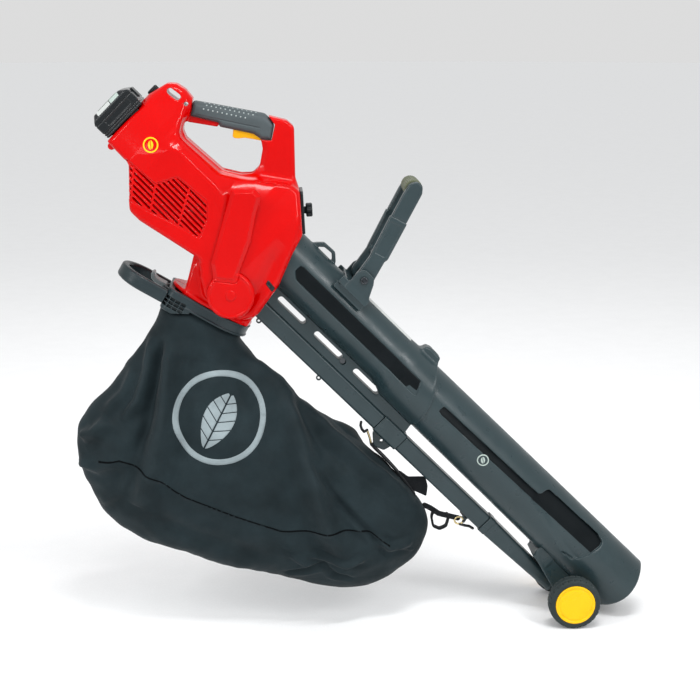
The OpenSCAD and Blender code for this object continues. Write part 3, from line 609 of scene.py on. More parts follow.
def housing_half(side):
    """One moulded half of the housing, with every hole in it."""
    y = sorted((side * 0.12, side * 72))
    g = Grid((-521, y[0] - 3, -158), (-146, y[1] + 3, 168), 1.5)
    gx, gz = local_xz(g, GRIP_TIP)
    body = cut(housing_body(g), housing_hollow(g, side))
    body = cut(body, rod_x(g, (-236, -120), UPPER_R + 0.3, UPPER_Z))
    body = cut(body, rod_x(g, (-176, -120), BLOW_R * 1.42, BLOW_Z))
    body = cut(body, box(g, (-530, -36, -44), (-500, 36, 14)))
    turn = math.radians(8)
    du, dv = g.x + 491.5, g.z - 68.5
    hook = obround(du * math.cos(turn) + dv * math.sin(turn),
                   dv * math.cos(turn) - du * math.sin(turn), 12, 5)
    body = cut(body, hook + 0 * g.y, 1.5)
    body = cut(body, rod_y(g, (-467.5, 71), 3.4, (-60, 60)), 0.8)
    body = cut(body, meet(meet(np.abs(gx - 41) - 25, np.abs(g.y) - 8.5), gz - 2))
    body = cut(body, rod_x(g, (-540, -507), 10.6, DIAL_Z))
    vents = meet(profile(g, VENT, 5), vent_depth(g) - 9)
    body = cut(body, meet(vents, 48 - np.abs(g.y)), 1.0)
    if side > 0:
        for x, z, seat in SEATS:
            body = cut(body, rod_y(g, (x, z), 4.8, (seat - 2.8, seat + 20)), 0.6)
    body = cut(body, rod_y(g, SELECTOR_AT, 6.1, (-80, 80)))
    return g, meet(body, side * -g.y + 0.12, 0.4)


def vent_grille(side):
    """Bars of the air vents, three columns between slanted ribs, wrapped round the rear corner."""
    y = (-72, -47) if side < 0 else (47, 72)
    g = Grid((-472, y[0], -98), (-304, y[1], -9), 0.9)
    depth = vent_depth(g)
    lean = g.z - 0.5 * depth + 0.02 * (g.x + 380)
    bars = (np.abs((lean + 11) % 7.2 - 3.6) - 1.9) * 0.85
    ribs = np.full(1, 99, np.float32)
    for x, z, slope in ((-458, -53, 0.82), (-416, -48, 0.64), (-376, -12, 0.5)):
        ribs = np.minimum(ribs, np.abs(g.x - x + slope * (g.z - z)) * 0.86 - 1.5)
    lip = -(profile(g, VENT, 5) + 1.6)
    solid = join(join(bars, ribs), lip)
    skin_d = meet(casing(g) + 0.7, depth - 7)
    area = profile(g, VENT, 5) - 0.5
    return g, meet(meet(solid, skin_d, 0.7), area)


def lever():
    """The mode lever's bar and its disc, with chamfered edges."""
    g = Grid((-337, -82, -134), (-170, -70, 58), 1.0)
    bar = fillet([(-328, 30), (-303, 55), (-287, 55), (-272, 27), (-249, -8), (-220, -72),
                  (-249, -94), (-259, -85), (-270, -77), (-305, -13)], 6)
    shape = outline(g.x, g.z, bar)
    # the outer face slopes down in a broad chamfer round its rim
    top = -79.5 + 6.5 * np.clip(1 + shape / 7, 0, 1)
    bar_field = meet(meet(shape, (top - g.y) * 0.9, 1.2), g.y + 71)
    radius = polar(g.x - SELECTOR_AT[0], g.z - SELECTOR_AT[1])[0]
    disc_top = (-77 - 1.2 * np.exp(-((radius - 33.6) / 1.4) ** 2)
                + 2.6 * np.clip((radius - 35) / 3, 0, 1) ** 2
                - 2.0 * np.clip((8.5 - radius) / 1.2, 0, 1))
    disc = meet(meet(radius - 38, (disc_top - g.y) * 0.9, 1.6), g.y + 71)
    gap = np.abs(shape - 1.2) - 0.7
    disc = cut(disc, meet(gap, g.y + 75.5), 0.4)
    return g, join(disc, bar_field, 1.0)


def build_screws():
    """Cross-head screws at the bottom of their round seats on the far half."""
    for k, (x, z, seat) in enumerate(SEATS):
        g = Grid((x - 6, seat - 12, z - 6), (x + 6, seat + 2, z + 6), 0.45)
        head = rod_y(g, (x, z), 4.1, (seat - 2.7, seat - 0.9), 0.8)
        u, v = np.abs(g.x - x), np.abs(g.z - z)
        recess = meet(np.minimum(u, v) - 0.7, np.maximum(u, v) - 2.3)
        head = cut(head, meet(recess, seat - 2.2 - g.y), 0.15)
        head = join(head, rod_y(g, (x, z), 1.6, (seat - 10, seat - 2.6)))
        cast(f"housing_screw_{k + 1}", head, g, "dark_steel",
             nodes=["housing_screws"] if k == 0 else [], faces=6000)


def build_housing():
    for side, name in ((-1, "left_housing"), (1, "right_housing")):
        g, field = housing_half(side)
        cast(name + "_shell", field, g, "casing_red", nodes=[name], faces=85000)
        g, field = vent_grille(side)
        cast(name + "_vents", field, g, "casing_red")
    g, field = lever()
    cast("mode_lever", field, g, "casing_red", body="selector", nodes=["selector_lever"])


build_housing()
build_screws()

# ---------------------------------------------------------------- grip, trigger, dial, battery

GRIP_SIDE = [(-53, 17), (-20, 18.2), (61, 20), (72, 13), (79.5, 5), (79.5, -18), (63, -20.5),
             (56, -17.5), (50, -15), (-4, -15), (-8, -9), (-53, -8)]


def grip_field(g):
    """The soft grip in its own frame: flatter on top, with a nose over the loop's front corner."""
    side = profile(g, GRIP_SIDE, [6, 30, 9, 9, 6, 3, 6, 12, 6, 4, 4, 3])
    wide = 17.5 + 2.0 * np.clip((g.x - 50) / 25, 0, 1) - 0.03 * np.clip(g.z - 4, 0, 20) ** 2
    body = meet(side, (np.abs(g.y) - wide) * 0.9, 8)
    # a shallow groove along each side
    groove = np.sqrt((np.abs(g.y) - wide) ** 2 + (g.z + 3.5) ** 2) - 1.1
    return cut(body, meet(groove, np.abs(g.x - 6) - 52), 0.5)


def land(field, start, step, rounds=24):
    """Moves points from outside a field along a direction until they reach its surface."""
    at = np.array(start, float)
    for _ in range(rounds):
        at = at + step * field(Points(*at.T))[:, None]
    return at


def studs(name, centers, normals, radius, height, place, sides=10):
    """Low round studs on a surface, as one mesh."""
    points, faces = [], []
    for c, n in zip(centers, normals):
        n = Vector(n).normalized()
        u = n.orthogonal().normalized()
        v = n.cross(u)
        first = len(points)
        for r, h in ((1.0, -0.4), (0.92, 0.35), (0.6, 0.85)):
            for k in range(sides):
                a = 2 * math.pi * k / sides
                points.append(Vector(c) + radius * r * (u * math.cos(a) + v * math.sin(a))
                              + n * height * h)
        points.append(Vector(c) + n * height)
        points.append(Vector(c) - n * height * 0.4)
        top, under = len(points) - 2, len(points) - 1
        for k in range(sides):
            m = (k + 1) % sides
            for ring in (0, 1):
                a, b = first + ring * sides, first + (ring + 1) * sides
                faces.append((a + k, a + m, b + m, b + k))
            faces.append((first + 2 * sides + k, first + 2 * sides + m, top))
            faces.append((first + m, first + k, under))
    return mesh_object(name, points, faces, place)


def build_grip():
    g = Grid((-57, -23, -25), (83, 23, 24), 0.8)
    body = cut(grip_field(g), rod_x(g, (-60, 62), 11.8), 0.6)
    body = cut(body, box(g, (-60, -9.2, -22), (-3, 9.2, -6)), 0.6)
    body = cut(body, box(g, (15.5, -8.7, -30), (68, 8.7, 4)), 0.8)
    cast("grip_rubber", body, g, "soft_grip", nodes=["handle_grip"], place=GRIP, faces=40000)
    starts, normals = [], []
    for row, angle in enumerate((22, 44, 66)):
        for side in (-1, 1):
            a = math.radians(angle) * side
            for k in range(12 - row):
                starts.append((-34 + 7.4 * k + 3.7 * (row % 2), 40 * math.sin(a), 40 * math.cos(a)))
                normals.append((0, math.sin(a), math.cos(a)))
    at = land(grip_field, starts, -np.array(normals))
    dress(studs("grip_dots", at, normals, 1.3, 0.55, GRIP), LOOKS["grip_dot"], "main")


def build_trigger():
    g = Grid((13, -9.5, -31), (68, 9.5, 4), 0.6)
    side = [(16.5, -8), (18, 1), (24, 1), (34, -7), (58, -7), (63, -14), (64, -23.5),
            (50, -23.6), (38, -24.2), (27, -27.6), (21, -28), (18.5, -26)]
    body = meet(profile(g, side, [2, 3, 3, 6, 3, 3, 2, 12, 12, 4, 4, 3]),
                np.abs(g.y) - 7.4, 2.0)
    body = cut(body, rod_y(g, (20, -4), 2.05, (-12, 12)))
    for k in range(4):
        body = cut(body, rod_y(g, (45 + 4.2 * k, -24.3 - 0.05 * k), 0.8, (-5, 5)), 0.3)
    cast("trigger_key", body, g, "trigger_yellow", body="trigger", nodes=["trigger"], place=GRIP)


def build_dial():
    g = Grid((-530, -12, 36), (-496, 12, 60), 0.6)
    radius, turn = polar(g.y, g.z - DIAL_Z)
    knurl = radius - 9.0 - 0.5 * np.cos(24 * turn)
    head = meet(knurl * 0.8, np.abs(g.x + 515.6) - 7.4, 2.6)
    head = cut(head, meet(radius - 5.4, g.x + 521.6), 0.5)
    bar = meet(meet(np.abs(g.y) - 1.6, np.abs(g.z - DIAL_Z) - 5.8), np.abs(g.x + 519.6) - 2.8, 0.4)
    body = join(join(head, bar, 0.5), rod_x(g, (-509, -498), 3, DIAL_Z))
    cast("speed_dial_knob", body, g, "black_plastic", body="dial", nodes=["speed_dial"])


def build_battery():
    g = Grid((-560, -45, -57), (-466, 45, 30), 1.0)
    side = [(BATTERY_END, -42), (BATTERY_END, 12), (-546, 26), (-516, 26), (-516, -52),
            (-544, -52)]
    plan = [(BATTERY_END, -33), (-549, -42), (-510, -42), (-510, 42), (-549, 42),
            (BATTERY_END, 33)]
    body = meet(profile(g, side, 4), outline(g.x, g.y, fillet(plan, 4)), 3)
    # parting groove, cheek recess and the ribs beside the housing
    body = cut(body, meet(np.abs(g.x + 541) - 0.7, -(body + 1.2)), 0.3)
    panel = profile(g, [(-538, -36), (-538, 14), (-528, 14), (-528, -36)], 3)
    body = cut(body, meet(panel, 40.6 - np.abs(g.y)), 0.6)
    for x in (-524.5, -520.5):
        body = cut(body, meet(np.abs(g.x - x) - 0.9, -(body + 1.4)), 0.3)
    body = cut(body, box(g, (-546.3, -13.3, 20), (-527.7, 13.3, 40)), 0.6)
    body = join(body, box(g, (-517, -35.7, -43.7), (-470, 35.7, 13.7), 1))
    for y in (-18, -6, 6, 18):
        body = cut(body, box(g, (-484, y - 1.5, -36), (-466, y + 1.5, 6)))
    cast("battery_case", body, g, "black_gloss", body="battery",
         nodes=["battery_pack"])
    # the plate with the blank rating field on the battery's end
    g = Grid((-560, -36, -42), (-554, 36, 14), 0.6)
    plate = meet(obround(g.y, g.z + 14, 31, 21), np.abs(g.x - BATTERY_END) - 0.35, 0.2)
    plate = join(plate, meet(meet(np.abs(g.y) - 29, np.abs(g.z + 14) - 20, 3),
                             np.abs(g.x - BATTERY_END) - 0.35, 0.2))
    plate = cut(plate, meet(np.abs(g.y - 6) - 0.6, g.x + 556.9))
    cast("battery_plate", plate, g, "label", body="battery")
    # the pale rating field on the slanted near edge, in two tones
    run_x, run_y, run = 8, 9, 12.04
    for name, z, look in (("battery_label_upper", (-9, 9), "pale_print"),
                          ("battery_label_lower", (-37, -10), "label")):
        g = Grid((-560, -45, z[0] - 2), (-546, -30, z[1] + 2), 0.5)
        off = (-(g.x - BATTERY_END) * run_y - (g.y + 33) * run_x) / run
        along = ((g.x - BATTERY_END) * run_x - (g.y + 33) * run_y) / run
        plate = meet(meet(np.abs(off - 0.1) - 0.5, np.abs(along - 6) - 4.4, 0.2),
                     between(g.z, z), 0.2)
        cast(name, plate, g, look, body="battery", faces=6000)
    g = Grid((-548, -15, 20), (-526, 15, 31), 0.6)
    key = box(g, (-546, -13, 22.5), (-528, 13, 28.4), 1.2)
    for x in (-542, -538.5, -535, -531.5):
        key = cut(key, rod_y(g, (x, 29), 1.0, (-10, 10)), 0.3)
    cast("battery_key", key, g, "black_plastic", body="battery_release", nodes=["battery_button"])


build_grip()
build_trigger()
build_dial()
build_battery()

# ---------------------------------------------------------------- tubes

# The upper tube's radius and its axis height along X
UPPER = ((-232, 58, 84, 170), (46, 46, 51.5, 52), (6, 6, 1.5, 1))
# where the collar and the web under it end: X against Z
COLLAR_END = ((-75, -63, -39, -6, 19, 45, 58), (164, 163, 159, 150, 139, 124, 116))
UPPER_BAND = [(-164, 4), (-163, 16), (-158, 18), (110, 18), (121, -4), (117, -6), (-152, -6)]
BAND_ROUND = [4, 4, 3, 3, 3, 3, 8]
PANEL = [(166, 3), (168, 15), (392, 20), (399, 37), (518, 40), (534, 36), (534, 28), (528, 5),
         (519, -13), (505, -21), (489, -22), (385, 6), (174, 1)]
PANEL_ROUND = [2, 4, 8, 10, 10, 8, 8, 10, 6, 4, 4, 20, 3]
MOUTH = (588, 4)
DLOOP = [(-176, 44), (-166, 57), (-157, 66), (-133, 67), (-121, 56), (-116, 44)]
DLOOP_HOLE = [(-161, 52), (-151, 60.5), (-136, 61.5), (-129, 55), (-128, 51.5), (-150, 51.5)]
WEB_SLOTS = ((-147, -87), (-64, -2), (26, 84))
EYES_X = (-142, -4)


def upper_surface(g):
    """Distance from the upper tube's skin and the radius about its axis."""
    radius = np.interp(g.x, UPPER[0], UPPER[1])
    mid = np.interp(g.x, UPPER[0], UPPER[2])
    return np.sqrt(g.y ** 2 + (g.z - mid) ** 2) - radius


def build_upper_tube():
    g = Grid((-236, -56, -56), (172, 56, 70), 1.25)
    skin_d = upper_surface(g)
    # the sunk band on both sides
    band = profile(g, UPPER_BAND, BAND_ROUND)
    tube = cut(skin_d, meet(meet(band, -(skin_d + 2.2)), 20 - np.abs(g.y)), 0.8)
    tab = meet(profile(g, [(76, 40), (84, 62), (92, 65), (114, 64), (126, 50),
                           (126, 40)], [0, 6, 4, 5, 6, 0]),
               np.abs(g.y) - 14 - 0.1 * (60 - g.z), 4)
    tube = join(tube, tab, 4)
    loop = meet(profile(g, DLOOP, [0, 8, 6, 8, 8, 0]), np.abs(g.y) - 5, 1.6)
    loop = cut(loop, profile(g, DLOOP_HOLE, 3) + 0 * g.y, 1)
    tube = join(tube, loop, 2)
    bore = meet(skin_d + 4.2, g.x - 70)
    tube = cut(tube, bore)
    tube = cut(tube, rod_x(g, (84, 180), 47.8, 1))
    end = g.x - np.interp(g.z, *COLLAR_END) - 0.0012 * g.y ** 2
    tube = join(tube, meet(skin_d - 0.9, np.abs(end + 1.8) - 1.6, 0.5))
    tube = meet(tube, end * 0.9, 1.5)
    tube = meet(tube, -(g.x + 232), 1)
    tube = cut(tube, rod_z(g, (104, 0), 6.4, (61, 80)), 0.6)
    tube = cut(tube, rod_z(g, (104, 0), 2.6, (40, 80)))
    cast("upper_suction_tube", tube, g, "slate_plastic", nodes=["upper_tube"], faces=80000)
    # the web between the two tubes, down to the slim one and on under the collar
    g = Grid((-172, -14, -74), (168, 14, -34), 0.9)
    skin_d = upper_surface(g)
    sheet = meet(np.abs(g.y) - 5.5, np.abs(g.z + 53) - 20)
    to_tube = join(sheet, skin_d, 9)
    web = join(to_tube, -(g.z + 69.5), 4)
    web = meet(meet(web, -(skin_d - 0.05)), -(g.z + 69.4))
    web = meet(web, np.abs(g.y) - 11)
    web = meet(web, g.x - np.interp(g.z, *COLLAR_END), 1)
    web = cut(web, outline(g.x, g.z, CASING) - 0.3)
    web = meet(web, -(g.x + 168))
    for a, b in WEB_SLOTS:
        web = cut(web, obround(g.x - (a + b) / 2, g.z + 50, (b - a) / 2, 5.4) + 0 * g.y, 1)
    boss = rod_y(g, (4, -53), 7.5, (-8, 8), 1)
    web = cut(join(web, boss, 1.5), rod_y(g, (4, -53), 4.6, (-20, -6)), 0.3)
    cast("tube_web_plate", web, g, "slate_plastic", nodes=["tube_web"])


def inlay(name, lo, hi, area, skin_d, depth):
    """A thin dark panel lying on the floor of a sunk field, one on each side."""
    for side, side_name in ((-1, "near"), (1, "far")):
        y = sorted((side * lo[1], side * hi[1]))
        g = Grid((lo[0], y[0], lo[2]), (hi[0], y[1], hi[2]), 0.9)
        top = skin_d(g) + np.maximum(depth(g) - 0.6, 0.1)
        plate = meet(meet(area(g) + 0.7, top, 0.3), -(skin_d(g) + depth(g) + 1.6))
        plate = meet(plate, lo[1] + 1 - side * g.y)
        cast(name + "_" + side_name, plate, g, "panel_dark", faces=36000)


def build_inlays():
    inlay("upper_tube_inlay", (-167, 34, -9), (124, 54, 21),
          lambda g: profile(g, UPPER_BAND, BAND_ROUND),
          upper_surface, lambda g: 2.2 + 0 * g.x)
    inlay("lower_tube_inlay", (163, 28, -26), (538, 57, 43),
          lambda g: meet(profile(g, PANEL, PANEL_ROUND),
                         np.interp(g.x, (170, 528), (0, 9)) - g.z), lower_skin, panel_depth)


def round_square(y, z, half_y, half_z, corner, inset=0):
    """Distance to a rectangle with round corners, exact outside it."""
    qy = np.maximum(np.abs(y) - half_y + inset + corner, 0)
    qz = np.maximum(np.abs(z) - half_z + inset + corner, 0)
    return np.sqrt(qy * qy + qz * qz) - corner


def slim_field(g, half, corner=5.0):
    """A rounded square tube about the blow tube's axis."""
    return round_square(g.y, g.z - BLOW_Z, half, half, corner)


def slim_run(name, nodes, x, extra=0.0, extras=()):
    g = Grid((x[0] - 2, -20, -124), (x[1] + 2, 20, -62), 1.0)
    tube = meet(slim_field(g, BLOW_R + extra), between(g.x, x), 1.0)
    for add in extras:
        tube = join(tube, add(g), 1.2)
    tube = cut(tube, slim_field(g, BLOW_R - 2.5, corner=3))
    cast(name, tube, g, "slate_plastic", nodes=nodes, faces=50000)


def eye_at(x, z, outer, hole, half):
    """A small lug with a hole across it."""
    def lug(g):
        shape = np.sqrt((g.x - x) ** 2 + (g.z - z) ** 2) - outer
        neck = meet(np.abs(g.x - x) - outer * 0.8, np.abs(g.z - z - 4) - 4)
        ring = meet(join(shape, neck), np.abs(g.y) - half, 0.8)
        return cut(ring, np.sqrt((g.x - x) ** 2 + (g.z - z) ** 2) - hole, 0.3)
    return lug


def fin(g):
    shape = profile(g, [(124, -92), (127, -106), (144, -121), (162, -114),
                        (168, -92)], [0, 4, 5, 6, 0])
    plate = meet(shape, np.abs(g.y) - 4, 1.2)
    return cut(plate, rod_y(g, (147, -105), 2.6, (-9, 9)), 0.5)


def build_slim_tube():
    lugs = [eye_at(x, -101.5, 4.5, 2.2, 3) for x in EYES_X]
    slim_run("blow_tube_rear", ["blow_tube_upper"], (-172, 119.6), extras=lugs)
    slim_run("blow_tube_sleeve", ["blow_sleeve"], (120.2, 170.6), 2, [fin])
    slim_run("blow_tube_front", ["blow_tube_lower"], (171.2, 373.4), 0,
             [eye_at(346, -100, 5.5, 2.6, 3)])
    g = Grid((372, -21, -106), (543, 21, -62), 1.0)
    half_y = np.interp(g.x, (390, 440, 540), (15.5, 16.2, 17.5))
    half_z = np.interp(g.x, (390, 420, 540), (15.5, 14.6, 10.5))
    corner = np.interp(g.x, (390, 540), (5.0, 9.5))
    mid = BLOW_Z + np.interp(g.x, (390, 540), (0, 1.0))

    def section(inset):
        return round_square(g.y, g.z - mid, half_y, half_z, corner, inset)

    ends = np.abs(g.x - 457) - 83
    nozzle = join(section(0), meet(section(-0.8), g.x - 386), 1)
    nozzle = join(nozzle, meet(section(-0.7), 536.5 - g.x), 1)
    nozzle = cut(meet(nozzle, ends, 1), section(2.4))
    cast("blow_nozzle_tip", nozzle, g, "slate_plastic", nodes=["blow_nozzle"])


def lower_skin(g):
    return np.sqrt(g.y ** 2 + g.z ** 2) - np.interp(g.x, (84, 100, 660), (47.5, 50, 54.6))


def panel_depth(g):
    """How deep the lower tube's panel is sunk: most under its upper edge."""
    low_edge = np.interp(g.x, (166, 385, 489, 560), (-3, 3, -26, -30))
    return 4.5 * np.clip((g.z - low_edge) / 15, 0, 1) ** 1.5


DIAGONAL = 0.7071


def emblem(g, x, z, size):
    """A plain ring with a leaf in it, as a shape in the plane of X and Z."""
    u, v = (g.x - x) / size, (g.z - z) / size
    a, b = (u + v) * DIAGONAL, (v - u) * DIAGONAL
    ring = np.abs(np.sqrt(u * u + v * v) - 0.9) - 0.1
    leaf = np.maximum(np.sqrt(b * b + (a - 0.40) ** 2), np.sqrt(b * b + (a + 0.40) ** 2)) - 0.75
    leaf = np.maximum(leaf, 0.045 - np.abs(a + 0.05 * np.sin(4 * b)))
    return np.minimum(ring, leaf) * size


def build_emblems():
    g = Grid((-477, -68, -24), (-449, -56, 4), 0.45)
    proud = np.abs(np.abs(g.y) - casing_width(g) + 0.6) - 1.1
    cast("housing_emblem", meet(emblem(g, -463, -10, 12), proud, 0.2), g, "wheel_yellow",
         faces=30000)
    g = Grid((267, -56, -16), (291, -44, 8), 0.45)
    proud = np.abs(lower_skin(g) + panel_depth(g) - 0.2) - 0.8
    cast("tube_emblem", meet(emblem(g, 279, -4, 10), proud, 0.2), g, "pale_print",
         faces=30000)


def build_lower_tube():
    g = Grid((82, -57, -57), (656, 57, 57), 1.5)
    skin_d = lower_skin(g)
    ends = np.where(g.x < MOUTH[0], np.abs(g.z) - 80,
                    np.sqrt(((g.x - MOUTH[0]) / 42) ** 2 + ((g.z - MOUTH[1]) / 58.5) ** 2) * 44
                    - 44)
    cheek = 53 - np.abs(g.y)
    tube = meet(skin_d, (ends - 0.2 * np.clip(cheek, 0, 60)) * 0.9, 2)
    tube = meet(tube, 84 - g.x, 1)
    # the sunk panel: deep under its upper edge, running out to nothing at its lower one
    area = profile(g, PANEL, PANEL_ROUND)
    sink = meet(area, -(skin_d + panel_depth(g)))
    tube = cut(tube, meet(sink, 20 - np.abs(g.y)), 0.8)
    slot = profile(g, [(490, -24), (497, -20), (518, -17), (512, -21)], 1.5)
    tube = cut(tube, meet(meet(slot, -(skin_d + 3)), 20 - np.abs(g.y)), 0.4)
    tube = cut(tube, skin_d + 7)
    cast("lower_suction_tube", tube, g, "slate_plastic", nodes=["lower_tube"], faces=90000)


build_upper_tube()
build_slim_tube()
build_lower_tube()
build_inlays()
build_emblems()

# ---------------------------------------------------------------- front handle and its bracket

# Side outline of an arm in the handle's frame: the lower part, the sleeve and the upper end
ARM = [(-13, -8), (-13, 8), (0, 15), (38, 9.5), (46, 10), (109, 11), (112, 9.5), (150, 9.5),
       (168, 8), (178, -1), (176, -12), (164, -17.5), (112, -17.5), (109, -19), (46, -19),
       (40, -16), (0, -15)]
ARM_Y = (35, 49)
BAR = (164, -3)


def build_handle():
    g = Grid((-18, -52, -22), (182, 52, 19), 1.25)
    side = profile(g, ARM, [8, 8, 10, 4, 2, 1, 1, 4, 8, 8, 8, 8, 1, 1, 2, 4, 10])
    side = join(side, np.sqrt(g.x ** 2 + g.z ** 2) - 15, 2)
    slab = between(np.abs(g.y), ARM_Y)
    arms = meet(side, slab, 3)
    # a step round the upper end, the sunk cheek outside and the hollow inside
    arms = cut(arms, meet(np.abs(g.x - 111) - 0.8, -(meet(side, slab) + 1.1)), 0.3)
    cheek = meet(side + 4.5, np.abs(g.x - 75) - 28, 2)
    arms = cut(arms, meet(cheek, ARM_Y[1] - 1.0 - np.abs(g.y)), 0.6)
    inner = meet(side + 3.6, np.abs(g.x - 98) - 52, 2)
    arms = cut(arms, meet(inner, np.abs(g.y) - ARM_Y[0] - 5), 0.6)
    bars = join(rod_y(g, BAR, 9.6, (-37, 37)), rod_y(g, (40, -2), 6, (-37, 37)), 1)
    bars = join(bars, rod_y(g, (104, -4), 5, (-37, 37)), 1)
    body = join(arms, bars, 3)
    body = cut(body, rod_y(g, (0, 0), 5.05, (-70, 70)))
    cast("front_handle_frame", body, g, "slate_plastic", body="front_handle",
         nodes=["front_handle"], place=HANDLE, faces=70000)
    g = Grid((146, -37, -20), (181, 37, 14), 0.8)
    radius, turn = polar(g.x - BAR[0], g.z - BAR[1])
    ribs = radius - 14.0 - 0.35 * np.cos(28 * turn) - 0.5
    ends = np.abs(g.y) - 34.7
    sleeve = cut(meet(ribs * 0.9, ends, 2.0), radius - 9.9)
    cast("front_grip_rubber", sleeve, g, "olive_grip", body="front_handle",
         nodes=["front_grip"], place=HANDLE, faces=50000)


def build_bracket():
    g = Grid((-108, -61, 18), (-40, 61, 90), 1.1)
    plate = [(-90, 40), (-92, 72), (-87, 85), (-66, 85), (-59, 76), (-44, 46), (-46, 40)]
    shape = profile(g, plate, [2, 6, 8, 10, 10, 3, 2])
    cheeks = meet(shape, np.abs(np.abs(g.y) - 52.4) - 2.4, 1.0)
    rim = meet(meet(shape, -(shape + 2.2)), np.abs(np.abs(g.y) - 54.3) - 1.2, 0.5)
    cheeks = join(cheeks, rim, 0.6)
    saddle = meet(meet(np.abs(g.x + 74) - 30, np.abs(g.y) - 54.4), np.abs(g.z - 42) - 12.4, 2)
    web = meet(np.abs(g.x + 74) - 30, np.abs(g.z - 40) - 16)
    body = join(cheeks, meet(saddle, web), 2)
    body = join(body, meet(upper_surface(g) - 3.2, np.abs(g.x + 74) - 30, 1), 2)
    body = meet(body, -(upper_surface(g) - 0.05))
    body = meet(body, 30 - g.z)
    body = meet(body, np.minimum(np.abs(g.y) - 48, 41 - g.z), 1)
    body = cut(body, box(g, (-120, -49.8, 54.6), (-20, 49.8, 99)), 0.5)
    body = cut(body, box(g, (-120, -49.8, 40), (-97, 49.8, 99)), 0.5)
    body = cut(body, rod_y(g, PIVOT, 5.05, (-70, 70)))
    cast("handle_clevis", body, g, "slate_plastic", nodes=["handle_bracket"])
    # bolt with a hex socket head on each side
    g = Grid((-86, -60, 60), (-64, 60, 82), 0.8)
    bolt = rod_y(g, PIVOT, 4.95, (-55, 55))
    for side in (-1, 1):
        ends = sorted((side * 54.9, side * 58.3))
        bolt = join(bolt, rod_y(g, PIVOT, 6.2, ends, 1.2))
    radius, turn = polar(g.x - PIVOT[0], g.z - PIVOT[1])
    hexed = radius * np.cos((turn + math.pi / 6) % (math.pi / 3) - math.pi / 6) - 3.4
    bolt = cut(bolt, meet(hexed, 56 - np.abs(g.y)), 0.2)
    cast("handle_pivot_bolt", bolt, g, "dark_steel", nodes=["handle_bolt"])


# ---------------------------------------------------------------- star knob and its plate


def build_knob():
    g = Grid((-1, -36, -37), (7, 36, 36), 0.8)
    plate = meet(meet(np.abs(g.y) - 34, np.abs(g.z + 0.5) - 34.5, 6), np.abs(g.x - 2.55) - 2.45, 1)
    grid = np.minimum(np.abs((g.y + 4.5) % 9 - 4.5), np.abs((g.z + 4.5) % 9 - 4.5)) - 1
    sink = meet(meet(np.abs(g.y) - 29, np.abs(g.z) - 29), -grid)
    sink = cut(sink, np.sqrt(g.y ** 2 + g.z ** 2) - 10)
    plate = cut(plate, meet(sink, 3.8 - g.x), 0.4)
    plate = cut(plate, np.sqrt(g.y ** 2 + g.z ** 2) - 3.05 + 0 * g.x)
    cast("clamp_plate", plate, g, "black_plastic", nodes=["tube_flange"], place=PLATE)
    g = Grid((-15, -15, -15), (21, 15, 15), 0.7)
    radius, turn = polar(g.y, g.z)
    lobes = radius - 10.6 - 1.3 * np.cos(6 * turn)
    head = meet(lobes * 0.85, np.abs(g.x - 13.6) - 5.2, 2.2)
    head = cut(head, meet(radius - 6.5, 17.6 - g.x), 0.8)
    stem = join(rod_x(g, (5.4, 12), 5.8, r=0.6), rod_x(g, (-14, 8), 2.95), 0.6)
    cast("star_knob_head", join(head, stem, 1), g, "black_plastic", body="clamp_knob",
         nodes=["star_knob"], place=PLATE)


# ---------------------------------------------------------------- wheels

AXLE = (560, -66)
TRACK, WHEEL_R, WHEEL_W = 63, 43.5, 28
WHEEL_MID = WHEEL_W / 2


def wheel_place(side):
    spin = 0 if side > 0 else math.pi
    return (MACHINE @ Matrix.Translation((AXLE[0], side * TRACK, AXLE[1]))
            @ Matrix.Rotation(spin, 4, "Z"))


